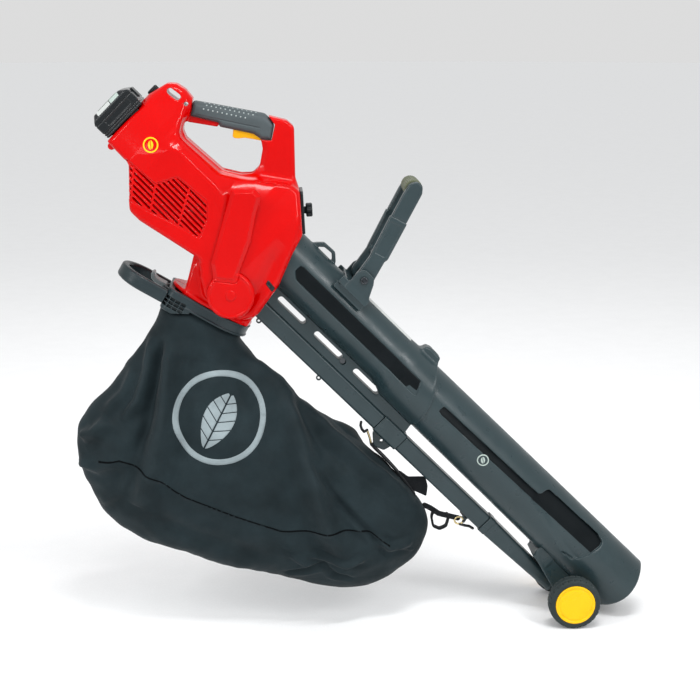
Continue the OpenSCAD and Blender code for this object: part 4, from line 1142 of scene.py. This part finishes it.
def build_wheels():
    for side, body in ((-1, "left_wheel"), (1, "right_wheel")):
        place = wheel_place(side)
        g = Grid((-46, -2, -46), (46, 30, 46), 1.0)
        radius, turn = polar(g.x, g.z)
        crown = 43.4 - 0.006 * (g.y - WHEEL_MID) ** 2
        tyre = meet(radius - crown, np.abs(g.y - WHEEL_MID) - WHEEL_MID, 4)
        # chunky blocks round both shoulders, parted by a groove from the running band
        lug = np.abs((turn / (2 * math.pi) * 26 + 0.5 * (g.y > WHEEL_MID)) % 1 - 0.5)
        notch = meet(meet((lug - 0.10) * 9, 41.2 - radius), 5.5 - np.abs(g.y - WHEEL_MID))
        tyre = cut(tyre, notch, 0.6)
        groove = meet(np.abs(np.abs(g.y - WHEEL_MID) - 5.5) - 0.8, 42.0 - radius)
        tyre = cut(tyre, groove, 0.4)
        side_ring = meet(np.abs(radius - 36.6) - 0.6, 13.4 - np.abs(g.y - WHEEL_MID))
        tyre = cut(tyre, side_ring, 0.3)
        tyre = cut(tyre, meet(radius - 33.6, 22 - g.y), 0.6)
        tyre = cut(tyre, radius - 30.0)
        cast(body + "_tread", tyre, g, "tyre", body=body, nodes=[body.replace("wheel", "tyre")],
             place=place, faces=70000)
        g = Grid((-32, -1, -32), (32, 29, 32), 1.1)
        radius, turn = polar(g.x, g.z)
        rim = cut(meet(radius - 29.9, np.abs(g.y - 12.5) - 11.5, 0.5),
                  meet(radius - 27, 3.5 - g.y), 0.5)
        spokes = meet(np.abs((turn / (2 * math.pi) * 6) % 1 - 0.5) * radius * 1.05 - 2.2,
                      np.abs(g.y - 12) - 9)
        rim = join(rim, meet(spokes, radius - 28), 1.5)
        rim = join(rim, meet(radius - 9, np.abs(g.y - 11.5) - 11.4, 0.6), 1)
        rim = cut(rim, radius - 4.06 + 0 * g.y)
        cast(body + "_rim", rim, g, "wheel_yellow", body=body, nodes=[body], place=place,
             faces=50000)
        g = Grid((-35, 22, -35), (35, 31, 35), 0.8)
        radius, turn = polar(g.x, g.z)
        face = 29.0 - 0.9 * np.clip((radius - 25.5) / 1.2, 0, 1) + 0.6 * np.clip(
            1 - (radius / 25) ** 2, 0, 1)
        face = face + 1.3 * np.clip((radius - 29) / 1.5, 0, 1)
        cap = meet(meet(radius - 33.2, (g.y - face) * 0.85, 1.2), 24.2 - g.y)
        cap = join(meet(cap, 26.5 - g.y), meet(radius - 29.6, np.abs(g.y - 25.5) - 1.6))
        slots = meet(np.abs(((turn + 0.5) / (2 * math.pi) * 3) % 1 - 0.5) * radius - 1.9,
                     np.abs(radius - 28) - 0.8)
        cap = cut(cap, meet(slots, 27.4 - g.y), 0.2)
        cast(body + "_cap", cap, g, "wheel_yellow", body=body, nodes=[body.replace("wheel", "cap")],
             place=place, faces=50000)


def build_axle_bracket():
    """The bracket under the mouth that carries the axle."""
    g = Grid((448, -61, -88), (578, 61, -34), 1.2)
    side = profile(g, [(467, -38), (467, -58), (484, -67), (510, -74), (548, -84),
                       (573, -74), (573, -58), (560, -38)],
                      [0, 8, 10, 14, 10, 10, 8, 0])
    cheeks = meet(side, np.abs(np.abs(g.y) - 27) - 4, 1.5)
    panel = meet(side + 5, 29.5 - np.abs(g.y))
    cheeks = cut(cheeks, panel, 1)
    body = join(cheeks, box(g, (470, -31, -66), (502, 31, -38), 3), 2)
    body = join(body, rod_y(g, AXLE, 10, (-58, 58), 1.5), 2.5)
    body = meet(body, -(lower_skin(g) - 0.05))
    body = cut(body, rod_y(g, AXLE, 4.1, (-90, 90)))
    body = cut(body, box(g, (380, -18.5, -110), (560, 18.5, -66.6)), 0.6)
    cast("axle_bracket", body, g, "slate_plastic", nodes=["wheel_bracket"])


build_handle()
build_bracket()
build_knob()
build_wheels()
build_axle_bracket()

# ---------------------------------------------------------------- bag ring, its loop and latch

RING_L, RING_W = 73, 54
LATCH_AT = (-79, -14)


def ring_oval(g):
    """The mouth ring's outline: round at the front, squarer towards the loop."""
    u, v = -g.x - RING_L - 1 + 15, np.abs(g.y) - RING_W + 15
    left = (np.sqrt(np.maximum(u, 0) ** 2 + np.maximum(v, 0) ** 2)
            + np.minimum(np.maximum(u, v), 0) - 15)
    return np.where(g.x < 0, left, obround(g.x, g.y, RING_L, RING_W))


def build_ring():
    g = Grid((-86, -57, -40), (76, 57, 3), 0.9)
    oval = ring_oval(g)
    low = np.interp(g.x, (-52, -20), (-37, -20))
    # a lip on top, a plain band and a bead along its lower edge
    rim = oval + np.interp(g.z, (-19, -17, -15.6, -14.4, -3.4, -2.6, -0.5),
                           (0.2, -0.6, 1.4, 1.4, 1.4, 0.0, 0.6))
    band = meet(meet(rim, g.z + 0.2, 1), -20 - g.z, 1)
    skirt = meet(meet(oval + 1.2, low - g.z, 2), g.z + 12)
    band = join(band, meet(skirt, g.x + 26, 1.5), 1)
    ear = box(g, (-83.5, -20, -20), (-70, 20, -8), 2)
    band = join(band, ear, 2)
    band = cut(band, oval + 9)
    band = cut(band, box(g, (-95, -13.6, -26), (-73.8, 13.6, 9)), 0.6)
    band = cut(band, rod_y(g, LATCH_AT, 2.05, (-30, 30)))
    # the field of square pockets on both long sides near the loop
    u = (g.x + 74) % 9.4 - 4.7
    v = (g.z + 30.4) % 6.2 - 3.1
    cell = meet(np.abs(u) - 4.0, np.abs(v) - 2.5)
    field = meet(meet(np.abs(g.x + 55.2) - 18.7, np.abs(g.z + 21) - 9.2), 30 - np.abs(g.y))
    pockets = meet(meet(cell, field), -(oval + 6.5))
    band = cut(band, pockets, 0.3)
    cast("bag_ring_frame", band, g, "slate_dark", nodes=["bag_ring"], place=RING,
         faces=90000)
    g = Grid((-161, -51, -33), (-40, 51, -3), 1.1)
    outer = meet(obround(g.x + 75, g.y, 83, 47.5), -g.x - 159)
    middle = np.abs(outer + 6.5) - 6
    crown = np.abs(g.z + 18.5) - 11.5
    loop = meet(middle, crown, 4.5)
    hollow = meet(meet(np.abs(outer + 6.5) - 3.5, g.z + 22), 147 + g.x)
    loop = cut(loop, meet(hollow, -g.x - 150), 1)
    line = meet(np.abs(g.z + 12.5) - 0.5, -(outer + 0.9))
    loop = cut(loop, line, 0.3)
    loop = meet(loop, -(ring_oval(g) - 0.05))
    cast("bag_ring_loop", loop, g, "slate_dark", nodes=["ring_handle"], place=RING,
         faces=60000)
    g = Grid((-112, -15, -21), (-69, 15, 6), 0.7)
    side = [(-108, 2), (-109.5, -3), (-105, -9.5), (-96, -12.5), (-84, -12.5), (-83.6, -17),
            (-76, -18.6), (-74.2, -12), (-75.6, -9), (-80, -5), (-94, -5.5), (-101, -3.5),
            (-104.5, 2.5)]
    key = meet(profile(g, side, [2, 4, 6, 8, 2, 3, 3, 2, 2, 4, 6, 4, 2]),
               np.abs(g.y) - 13, 1.4)
    for x in (-97, -93.5, -90, -86.5):
        key = join(key, rod_y(g, (x, -5.4), 0.9, (-10, 10), 0.4), 0.4)
    key = join(key, rod_y(g, LATCH_AT, 4.4, (-13, 13), 0.6), 0.6)
    key = cut(key, rod_y(g, LATCH_AT, 2.05, (-30, 30)))
    cast("bag_latch_key", key, g, "latch_grey", body="latch", nodes=["bag_latch"],
         place=RING)


build_ring()

# ---------------------------------------------------------------- bag

# Sections of the bag in the row's own millimetres: left X and Z, right X and Z, half width
BAG = [(-112, -322, 28, -371, 50), (-126, -340, 38, -386, 56), (-152, -378, 54, -404, 62),
       (-178, -412, 72, -424, 68), (-206, -448, 104, -452, 76), (-236, -478, 140, -478, 84),
       (-252, -508, 182, -510, 91), (-254, -540, 216, -538, 95), (-247, -572, 256, -571, 97),
       (-234, -606, 286, -604, 97), (-218, -640, 308, -634, 95), (-188, -670, 328, -664, 92),
       (-150, -694, 332, -692, 87), (-96, -714, 326, -712, 82), (-40, -734, 314, -732, 74),
       (20, -752, 300, -748, 62), (84, -770, 282, -764, 48), (130, -783, 262, -776, 34),
       (168, -792, 238, -788, 18)]
# Folds on the near side: a path in X and Z, the half width of the fold and its depth
FOLDS = [
    ([(-121, -345), (-130, -405), (-147, -450), (-172, -480)], 8, 9),
    ([(-86, -340), (-95, -402), (-107, -489), (-122, -548), (-155, -623)], 15, 16),
    ([(-108, -350), (-113, -403), (-125, -472), (-149, -535)], 9, -7),
    ([(-150, -400), (-168, -440), (-200, -470)], 8, 5),
    ([(-242, -512), (-217, -503), (-193, -482)], 9, 11),
    ([(-250, -556), (-215, -560), (-178, -544)], 9, 7),
    ([(-60, -350), (-66, -400), (-74, -440)], 8, 5),
    ([(33, -366), (56, -392), (88, -456), (114, -530), (136, -600), (150, -650), (176, -700),
      (196, -735)], 17, 17),
    ([(58, -396), (110, -450), (158, -505), (205, -550), (254, -590), (306, -640)], 8, 10),
    ([(125, -542), (175, -617), (232, -679), (262, -725)], 5, -5),
    ([(85, -676), (100, -710), (126, -733)], 4, 4),
    ([(129, -712), (156, -716), (189, -727), (222, -722)], 5, 6),
    ([(88, -750), (129, -741), (153, -731), (168, -750), (203, -766)], 4, -5),
    ([(240, -690), (262, -706), (300, -700)], 6, 6),
    ([(-130, -640), (-60, -672), (20, -700), (70, -712)], 14, -4),
    ([(-215, -625), (-180, -600), (-160, -560)], 8, 5)]
# The sewn seam between the sides and the bottom panel
SEAM = [(-252, -566), (-212, -548), (-178, -544), (-142, -556), (-95, -589), (-69, -604),
        (1, -634), (83, -664), (110, -666), (190, -668), (230, -674), (262, -700), (300, -716)]
BAG_SIDES, BAG_ROWS = 264, 210
BAG_MID_X, NEAR_DEPTH, FAR_DEPTH, NARROWED = 34, 1.5, 1.1, 0.12
MARK_AT, MARK_R, MARK_BAND = (-15, -474), 75, 9.5
LEAF_LEAN, LEAF_CELLS, SEAM_STEPS = math.radians(62), 6, 120


def smooth_rows(table, count):
    """Rows of a table joined by a smooth curve, evenly spaced along it."""
    table = np.array(table, float)
    steps = np.linalg.norm(np.diff(table[:, :4], axis=0), axis=1)
    knots = np.concatenate([[0], np.cumsum(steps)])
    at = np.linspace(0, knots[-1], count)
    slopes = np.gradient(table, knots, axis=0)
    i = np.clip(np.searchsorted(knots, at, "right") - 1, 0, len(knots) - 2)
    h = (knots[i + 1] - knots[i])[:, None]
    t = (at - knots[i])[:, None] / h
    return ((2 * t ** 3 - 3 * t ** 2 + 1) * table[i] + (t ** 3 - 2 * t ** 2 + t) * h * slopes[i]
            + (3 * t ** 2 - 2 * t ** 3) * table[i + 1] + (t ** 3 - t ** 2) * h * slopes[i + 1])


def to_row(place, points):
    """Points of one of the machine's frames as millimetres of the row."""
    m = np.array(place) / MM
    return np.asarray(points) @ m[:3, :3].T + m[:3, 3]


def path_distance(x, z, path):
    """Distance of loose points from an open path, and how far along it they lie, 0 to 1."""
    path = np.array(path, float)
    steps = np.linalg.norm(np.diff(path, axis=0), axis=1)
    start = np.concatenate([[0], np.cumsum(steps)])
    best = np.full(x.shape, 1e9)
    along = np.zeros(x.shape)
    for k, ((px, pz), (qx, qz)) in enumerate(zip(path, path[1:])):
        ex, ez = qx - px, qz - pz
        t = np.clip(((x - px) * ex + (z - pz) * ez) / (ex * ex + ez * ez), 0, 1)
        d = np.hypot(x - px - ex * t, z - pz - ez * t)
        near = d < best
        best = np.where(near, d, best)
        along = np.where(near, (start[k] + t * steps[k]) / start[-1], along)
    return best, along


def grid_normals(p):
    """Unit normals of a closed strip of rows of points."""
    around = np.roll(p, -1, axis=1) - np.roll(p, 1, axis=1)
    down = np.gradient(p, axis=0)
    n = np.cross(around, down)
    return n / np.maximum(np.linalg.norm(n, axis=2, keepdims=True), 1e-9)


def bag_surface():
    """Rows of points of the cloth, from the hem inside the ring to the closed bottom."""
    angle = np.linspace(0, 2 * math.pi, BAG_SIDES, endpoint=False)
    c, s = np.cos(angle), np.sin(angle)
    power = 0.74
    oval = np.stack([np.sign(c) * np.abs(c) ** power, np.sign(s) * np.abs(s) ** power], axis=1)
    hems = []
    for half_l, half_w, drop in ((61, 42, -19), (66, 47, -25), (70, 50.5, -30)):
        # the hem leaves the ring lower on the side of the loop, as the ring's skirt does
        z = drop - 13 * np.clip((-oval[:, 0] - 0.35) / 0.4, 0, 1)
        hems.append(to_row(RING, np.stack([oval[:, 0] * half_l, oval[:, 1] * half_w, z], axis=1)))
    rows = smooth_rows(BAG, BAG_ROWS)
    left_x, left_z, right_x, right_z, half_width = rows.T
    mid = np.stack([(left_x + right_x) / 2, 0 * left_x, (left_z + right_z) / 2], 1)
    half = np.stack([(right_x - left_x) / 2, 0 * left_x, (right_z - left_z) / 2], 1)
    # the sides are fuller than an ellipse lower down
    full = 1 - 0.13 * np.clip((np.arange(BAG_ROWS) - 20) / 60, 0, 1)[:, None]
    cc = np.sign(c) * np.abs(c) ** full
    ss = np.sign(s) * np.abs(s) ** full
    p = mid[:, None] + half[:, None] * cc[..., None]
    p[..., 1] += half_width[:, None] * ss
    p = np.concatenate([np.array(hems), p])
    # smooth the step from the hem to the body
    for _ in range(12):
        p[3:12] = 0.5 * p[3:12] + 0.25 * (p[2:11] + p[4:13])
    return p


def bag_relief(p):
    """How far each point of the cloth is pushed in by folds, seams and slack."""
    x, y, z = p[..., 0], p[..., 1], p[..., 2]
    wide = np.abs(y).max(axis=1, keepdims=True)
    push = np.zeros(x.shape)
    for side in (-1, 1):
        # the far side has the same folds, drawn mirrored about the bag's middle and shallower
        u = x if side < 0 else 2 * BAG_MID_X - 0.94 * x
        near = np.clip(side * y / wide * 2.2, 0, 1) ** 0.8
        for path, width, depth in FOLDS:
            d, along = path_distance(u, z, path)
            fade = np.clip(along / 0.16, 0, 1) * np.clip((1 - along) / 0.2, 0, 1)
            fade = fade ** 0.6
            deep = (NEAR_DEPTH if side < 0 else FAR_DEPTH) * depth
            push += near * deep * fade * np.exp(-(d / width) ** 2)
            push -= near * 0.28 * deep * fade * np.exp(-((d - 2.1 * width) / width) ** 2)
    d, _ = path_distance(x, z, SEAM)
    push += 2.2 * np.exp(-(d / 2.6) ** 2)
    a = np.sin(x * 0.031 + 1.3 * np.sin(z * 0.017 + y * 0.02))
    b = np.sin(z * 0.043 + 0.9 * np.sin(x * 0.027 - 1.1) + y * 0.013)
    fine = np.sin(x * 0.13 + 2.2 * np.sin(z * 0.047)) * np.sin(z * 0.11 + 1.7 * np.sin(x * 0.05))
    push += 2.2 * a * b + 0.8 * fine
    return push


def build_bag():
    p = bag_surface()
    normals = grid_normals(p)
    push = bag_relief(p)
    rows = np.arange(len(p))
    ease = np.clip((rows - 3) / 14, 0, 1) * np.clip((len(p) - 4 - rows) / 22, 0, 1)
    p = p - normals * (push * ease[:, None])[..., None]
    p[..., 1] *= 1 - NARROWED * ease[:, None]
    n, m = p.shape[:2]
    flat = p.reshape(-1, 3)
    index = np.arange(n * m).reshape(n, m)
    nxt = np.roll(index, -1, axis=1)
    quads = np.stack([index[:-1], nxt[:-1], nxt[1:], index[1:]], axis=-1).reshape(-1, 4)
    inward = to_row(RING, [(0, 0, -19)])[0]
    faces = [tuple(q) for q in quads]
    top, bottom = len(flat), len(flat) + 1
    points = np.vstack([flat, inward[None], p[-1].mean(axis=0)[None]])
    faces += [(top, int(nxt[0, k]), int(index[0, k])) for k in range(m)]
    faces += [(bottom, int(index[-1, k]), int(nxt[-1, k])) for k in range(m)]
    bag = face_out(mesh_object("collection_bag", points, faces, ROW))
    return dress(bag, LOOKS["bag_cloth"], "main", ["bag"])


def on_cloth(tree, x, z, proud, side=-1):
    """Points over the bag's side at given X and Z in the row's millimetres."""
    out = []
    for a, b in zip(x, z):
        hit, normal, _, _ = tree.ray_cast(Vector((a * MM, side * 0.3, b * MM)),
                                          Vector((0, -side, 0)))
        if hit is None:
            hit, normal, _, _ = tree.find_nearest(Vector((a * MM, side * 0.1, b * MM)))
        if normal.y * side < 0:
            normal = -normal
        out.append((hit + normal * proud * MM) / MM)
    return out


def patch(name, tree, u, v, shape, proud, material, side=-1):
    """A thin print or tape on the cloth: shape turns the two open parameters into X and Z."""
    n, m = len(u), len(v)
    xs, zs = [], []
    for a in u:
        for b in v:
            x, z = shape(a, b)
            xs.append(x)
            zs.append(z)
    upper = on_cloth(tree, xs, zs, proud, side)
    lower = on_cloth(tree, xs, zs, -0.4, side)
    points = upper + lower
    faces = []
    for i in range(n - 1):
        for j in range(m - 1):
            a, b, c, d = i * m + j, i * m + j + 1, (i + 1) * m + j + 1, (i + 1) * m + j
            faces.append((a, b, c, d))
            faces.append(tuple(n * m + k for k in (d, c, b, a)))
    rim = ([(i, 0) for i in range(n - 1)] + [(n - 1, j) for j in range(m - 1)]
           + [(i, m - 1) for i in range(n - 1, 0, -1)] + [(0, j) for j in range(m - 1, 0, -1)])
    ids = [i * m + j for i, j in rim]
    for a, b in zip(ids, ids[1:] + ids[:1]):
        faces.append((a, b, n * m + b, n * m + a))
    ob = face_out(mesh_object(name, points, faces, ROW), merge=True)
    return dress(ob, material, "main")


def build_print(tree):
    """A round mark with a plain leaf, printed on the bag's near side, and the seam's tape."""
    cx, cz = MARK_AT
    ring = np.linspace(0, 2 * math.pi, 97)
    patch("bag_print_ring", tree, ring, np.linspace(0, 1, 4),
          lambda a, b: (cx + (MARK_R - MARK_BAND * b) * math.cos(a),
                        cz + (MARK_R - MARK_BAND * b) * math.sin(a)),
          0.35, LOOKS["print_silver"])
    ux, uz = math.cos(LEAF_LEAN), math.sin(LEAF_LEAN)

    def half_leaf(sign):
        def shape(a, b):
            reach = 24 * (math.sin(math.pi * a ** 0.8) ** 0.8 if 0 < a < 1 else 0)
            along = -54 + 96 * a + 0.6 * reach * b
            off = sign * (1.3 + reach * b)
            return cx + along * ux - off * uz, cz + along * uz + off * ux
        return shape

    for sign, side in ((-1, "lower"), (1, "upper")):
        for k in range(LEAF_CELLS):
            lo, hi = 0.01 + 0.163 * k, 0.01 + 0.163 * (k + 1) - 0.016
            patch(f"bag_print_leaf_{side}_{k}", tree, np.linspace(lo, hi, 9), np.linspace(0, 1, 8),
                  half_leaf(sign), 0.35, LOOKS["print_silver"])
    seam = np.array(SEAM[1:-1], float)
    steps = np.concatenate([[0], np.cumsum(np.linalg.norm(np.diff(seam, axis=0), axis=1))])
    at = np.linspace(0, steps[-1], SEAM_STEPS)
    sx, sz = np.interp(at, steps, seam[:, 0]), np.interp(at, steps, seam[:, 1])
    for name, side in (("bag_seam_near", -1), ("bag_seam_far", 1)):
        patch(name, tree, np.arange(SEAM_STEPS), np.linspace(-1.2, 1.2, 3),
              lambda i, b: (sx[int(i)], sz[int(i)] + b), 0.5, LOOKS["seam_tape"], side)


BAG_OB = build_bag()
TREE = BVHTree.FromPolygons([v.co for v in BAG_OB.data.vertices],
                            [p.vertices for p in BAG_OB.data.polygons])
build_print(TREE)

# ---------------------------------------------------------------- straps, hooks and the clip


def round_path(path, pad, half_y, step):
    """A grid round a path in X and Z, the distance from the path and how far along it."""
    xs, zs = zip(*path)
    g = Grid((min(xs) - pad, -half_y, min(zs) - pad), (max(xs) + pad, half_y, max(zs) + pad), step)
    return g, *near_path(g, path)


def near_path(g, path):
    return path_distance(g.x + 0 * g.z, g.z + 0 * g.x, path)


def ribbon(name, path, half, width, look):
    """A flat strap along a path in the row's X and Z, with its width across the machine."""
    g, d, along = round_path(path, 16, width + 2, 0.8)
    weave = 0.18 * np.cos(along * len(path) * 46) * np.cos(g.y * 2.2)
    cast(name, meet(d - half + weave, np.abs(g.y) - width, 0.5), g, look, place=ROW, faces=20000)


def wire(name, path, radius, look, nodes=(), closed=False):
    """A bent round wire along a path in the plane of symmetry."""
    path = list(path) + ([path[0]] if closed else [])
    g, d, _ = round_path(path, radius + 1.5, radius + 1.5, 0.5)
    cast(name, np.sqrt(d * d + g.y ** 2) - radius, g, look, nodes=nodes, place=ROW,
         faces=12000)


def build_straps():
    cloth, brass, black = "webbing", "hook_brass", "black_gloss"
    ribbon("strap_top", [(234, -541), (241, -549), (251, -559), (264, -573), (277, -588),
                         (289, -603), (300, -618), (309, -632)], 1.6, 11, cloth)
    # the pull tab, a doubled end of webbing with its face outwards
    g = Grid((276, -4, -644), (338, 4, -582), 0.7)
    tab = profile(g, [(280, -587), (298, -601), (314, -601), (327, -601),
                      (331, -618), (329, -636), (305, -625), (288, -604)],
                     [2, 8, 4, 2, 12, 2, 10, 2])
    bend = 1.2 * np.sin((g.x - 280) / 16)
    row = 0.2 * np.cos(g.x * 2.6) * np.cos(g.z * 2.6)
    stitch = np.abs(np.abs(g.x - 318) - 6) - 0.5
    tab = meet(tab, np.abs(g.y - bend) - 1.5 + row + 0.4 * (stitch < 0), 0.5)
    cast("strap_pull_tab", tab, g, cloth, place=ROW, faces=20000)
    wire("strap_hook_shank", [(235, -542), (232, -530), (228, -518)], 1.9, brass)
    wire("strap_hook_upper", [(228, -518), (223, -521), (219, -516), (217, -510), (218, -504)],
         2.3, black)
    # the lower strap, its hanging loop, the ring and the snap hook on the slim tube's eye
    g = Grid((322, -4, -686), (390, 4, -640), 0.7)
    d, along = near_path(g, [(326, -652), (337, -658), (350, -667), (366, -671), (383, -676)])
    strap = meet(d - 4.6, np.abs(g.y - 1.0 * np.sin(along * 7)) - 1.4
                 + 0.2 * np.cos(g.x * 2.6) * np.cos(g.z * 2.6), 0.5)
    cast("strap_lower", strap, g, cloth, nodes=["bag_straps"], place=ROW, faces=20000)
    ribbon("strap_lower_loop", fillet([(339, -664), (338, -674), (341, -689), (352, -694),
                                       (363, -689), (367, -674), (366, -668)], 6)[:-1], 1.9, 5,
           cloth)
    turns = [(385 + 7.5 * math.cos(t), -680 + 6.5 * math.sin(t))
             for t in np.linspace(0, 2 * math.pi, 20, endpoint=False)]
    wire("strap_ring", turns, 1.6, brass, ["strap_hooks"], closed=True)
    wire("strap_hook_lower", [(387, -687), (397, -690), (403, -691), (409, -695)], 2.4, black)
    wire("strap_hook_eye", [(389, -665), (393, -670), (396, -677), (393, -682)], 2.8, black)


def build_clip():
    """The dark snap that holds the tube in the housing, on both sides."""
    for side, name in ((-1, "left_tube_snap"), (1, "right_tube_snap")):
        y = sorted((side * 54, side * 69))
        g = Grid((-198, y[0], -52), (-156, y[1], -26), 0.7)
        proud = np.abs(g.y) - casing_width(g)
        shape = profile(g, [(-186, -34), (-169, -36), (-167, -44), (-184, -42)], 2)
        snap = meet(shape, proud - 1.3, 0.8)
        snap = cut(snap, meet(outline(g.x, g.z, [(-183, -37), (-177, -38), (-177, -41),
                                                 (-182, -40)]), 0.3 - proud), 0.4)
        cast(name, meet(snap, -proud - 3), g, "black_gloss", faces=12000)


build_straps()
build_clip()

# ---------------------------------------------------------------- CAD nodes that stay as they are

for node, ob in NODES.items():
    slot = next(part["material_slot"] for part in RECORD["subparts"] if part["node"] == node)
    ob.data.materials.clear()
    look = "dark_steel" if "screws" in node else slot
    ob.data.materials.append(LOOKS[look])

# ---------------------------------------------------------------- floor, light and finish

FLOOR_Z = (MACHINE @ Vector((AXLE[0], 0, AXLE[1]))).z - WHEEL_R * MM


def make_floor():
    """A wide pale floor whose far rim fades into the surroundings."""
    rings, sides = [0.0, 0.6, 1.5, 4, 10, 30], 48
    turns = [2 * math.pi * k / sides for k in range(sides)]
    points, faces = [(0, 0, 0)], []
    for r in rings[1:]:
        points += [(r * math.cos(t), r * math.sin(t), 0) for t in turns]
    for i in range(1, len(rings)):
        for k in range(sides):
            m = (k + 1) % sides
            a, b = 1 + (i - 2) * sides, 1 + (i - 1) * sides
            faces.append((0, b + k, b + m) if i == 1 else (a + k, b + k, b + m, a + m))
    ob = mesh_object("floor", [(x * 1000, y * 1000, FLOOR_Z * 1000) for x, y, _ in points], faces,
                     ROW, smooth=False)
    ob.data.materials.append(finish_of("floor_paper", linear(248, 249, 250), 0.9, grain=0.1,
                                       grain_size=2, mottle=0.01, wear=0,
                                       Specular_IOR_Level=0.0))


SKY_LOW, SKY_HIGH = 0.72, 0.82


def make_world():
    """An even pale surrounding, a little brighter overhead."""
    world = bpy.data.worlds.new("studio")
    bpy.context.scene.world = world
    world.use_nodes = True
    tree = world.node_tree
    back = tree.nodes["Background"]
    where = tree.nodes.new("ShaderNodeTexCoord")
    split = tree.nodes.new("ShaderNodeSeparateXYZ")
    tree.links.new(where.outputs["Generated"], split.inputs[0])
    ramp = tree.nodes.new("ShaderNodeMapRange")
    for key, v in (("From Min", 0.0), ("From Max", 1.0), ("To Min", SKY_LOW), ("To Max", SKY_HIGH)):
        ramp.inputs[key].default_value = v
    tree.links.new(split.outputs["Z"], ramp.inputs["Value"])
    tree.links.new(ramp.outputs["Result"], back.inputs["Strength"])
    back.inputs["Color"].default_value = (1, 1, 1, 1)


# Where each softbox stands, its width and height and its watts
LIGHTS = {"front_box": ((-0.9, -2.2, 0.7), (0.7, 0.7), 6),
          "top_strip": ((0.5, -0.9, 1.9), (1.2, 0.2), 26),
          "left_strip": ((-1.9, -1.3, 1.0), (0.2, 1.5), 20),
          "right_strip": ((1.7, -1.7, 0.9), (0.25, 1.4), 22),
          "back_box": ((0.2, 2.0, 1.4), (1.4, 0.8), 8)}
LIT_POINT = Vector((0.15, 0, -0.38))


def softbox(name, at, size, power):
    data = bpy.data.lights.new(name, "AREA")
    data.shape = "RECTANGLE"
    data.size, data.size_y = size
    data.energy = power
    ob = bpy.data.objects.new(name, data)
    bpy.context.scene.collection.objects.link(ob)
    ob.location = at
    ob.rotation_euler = (LIT_POINT - Vector(at)).to_track_quat("-Z", "Y").to_euler()


make_floor()
make_world()
for light, placing in LIGHTS.items():
    softbox(light, *placing)
bpy.context.scene.view_settings.view_transform = "Standard"
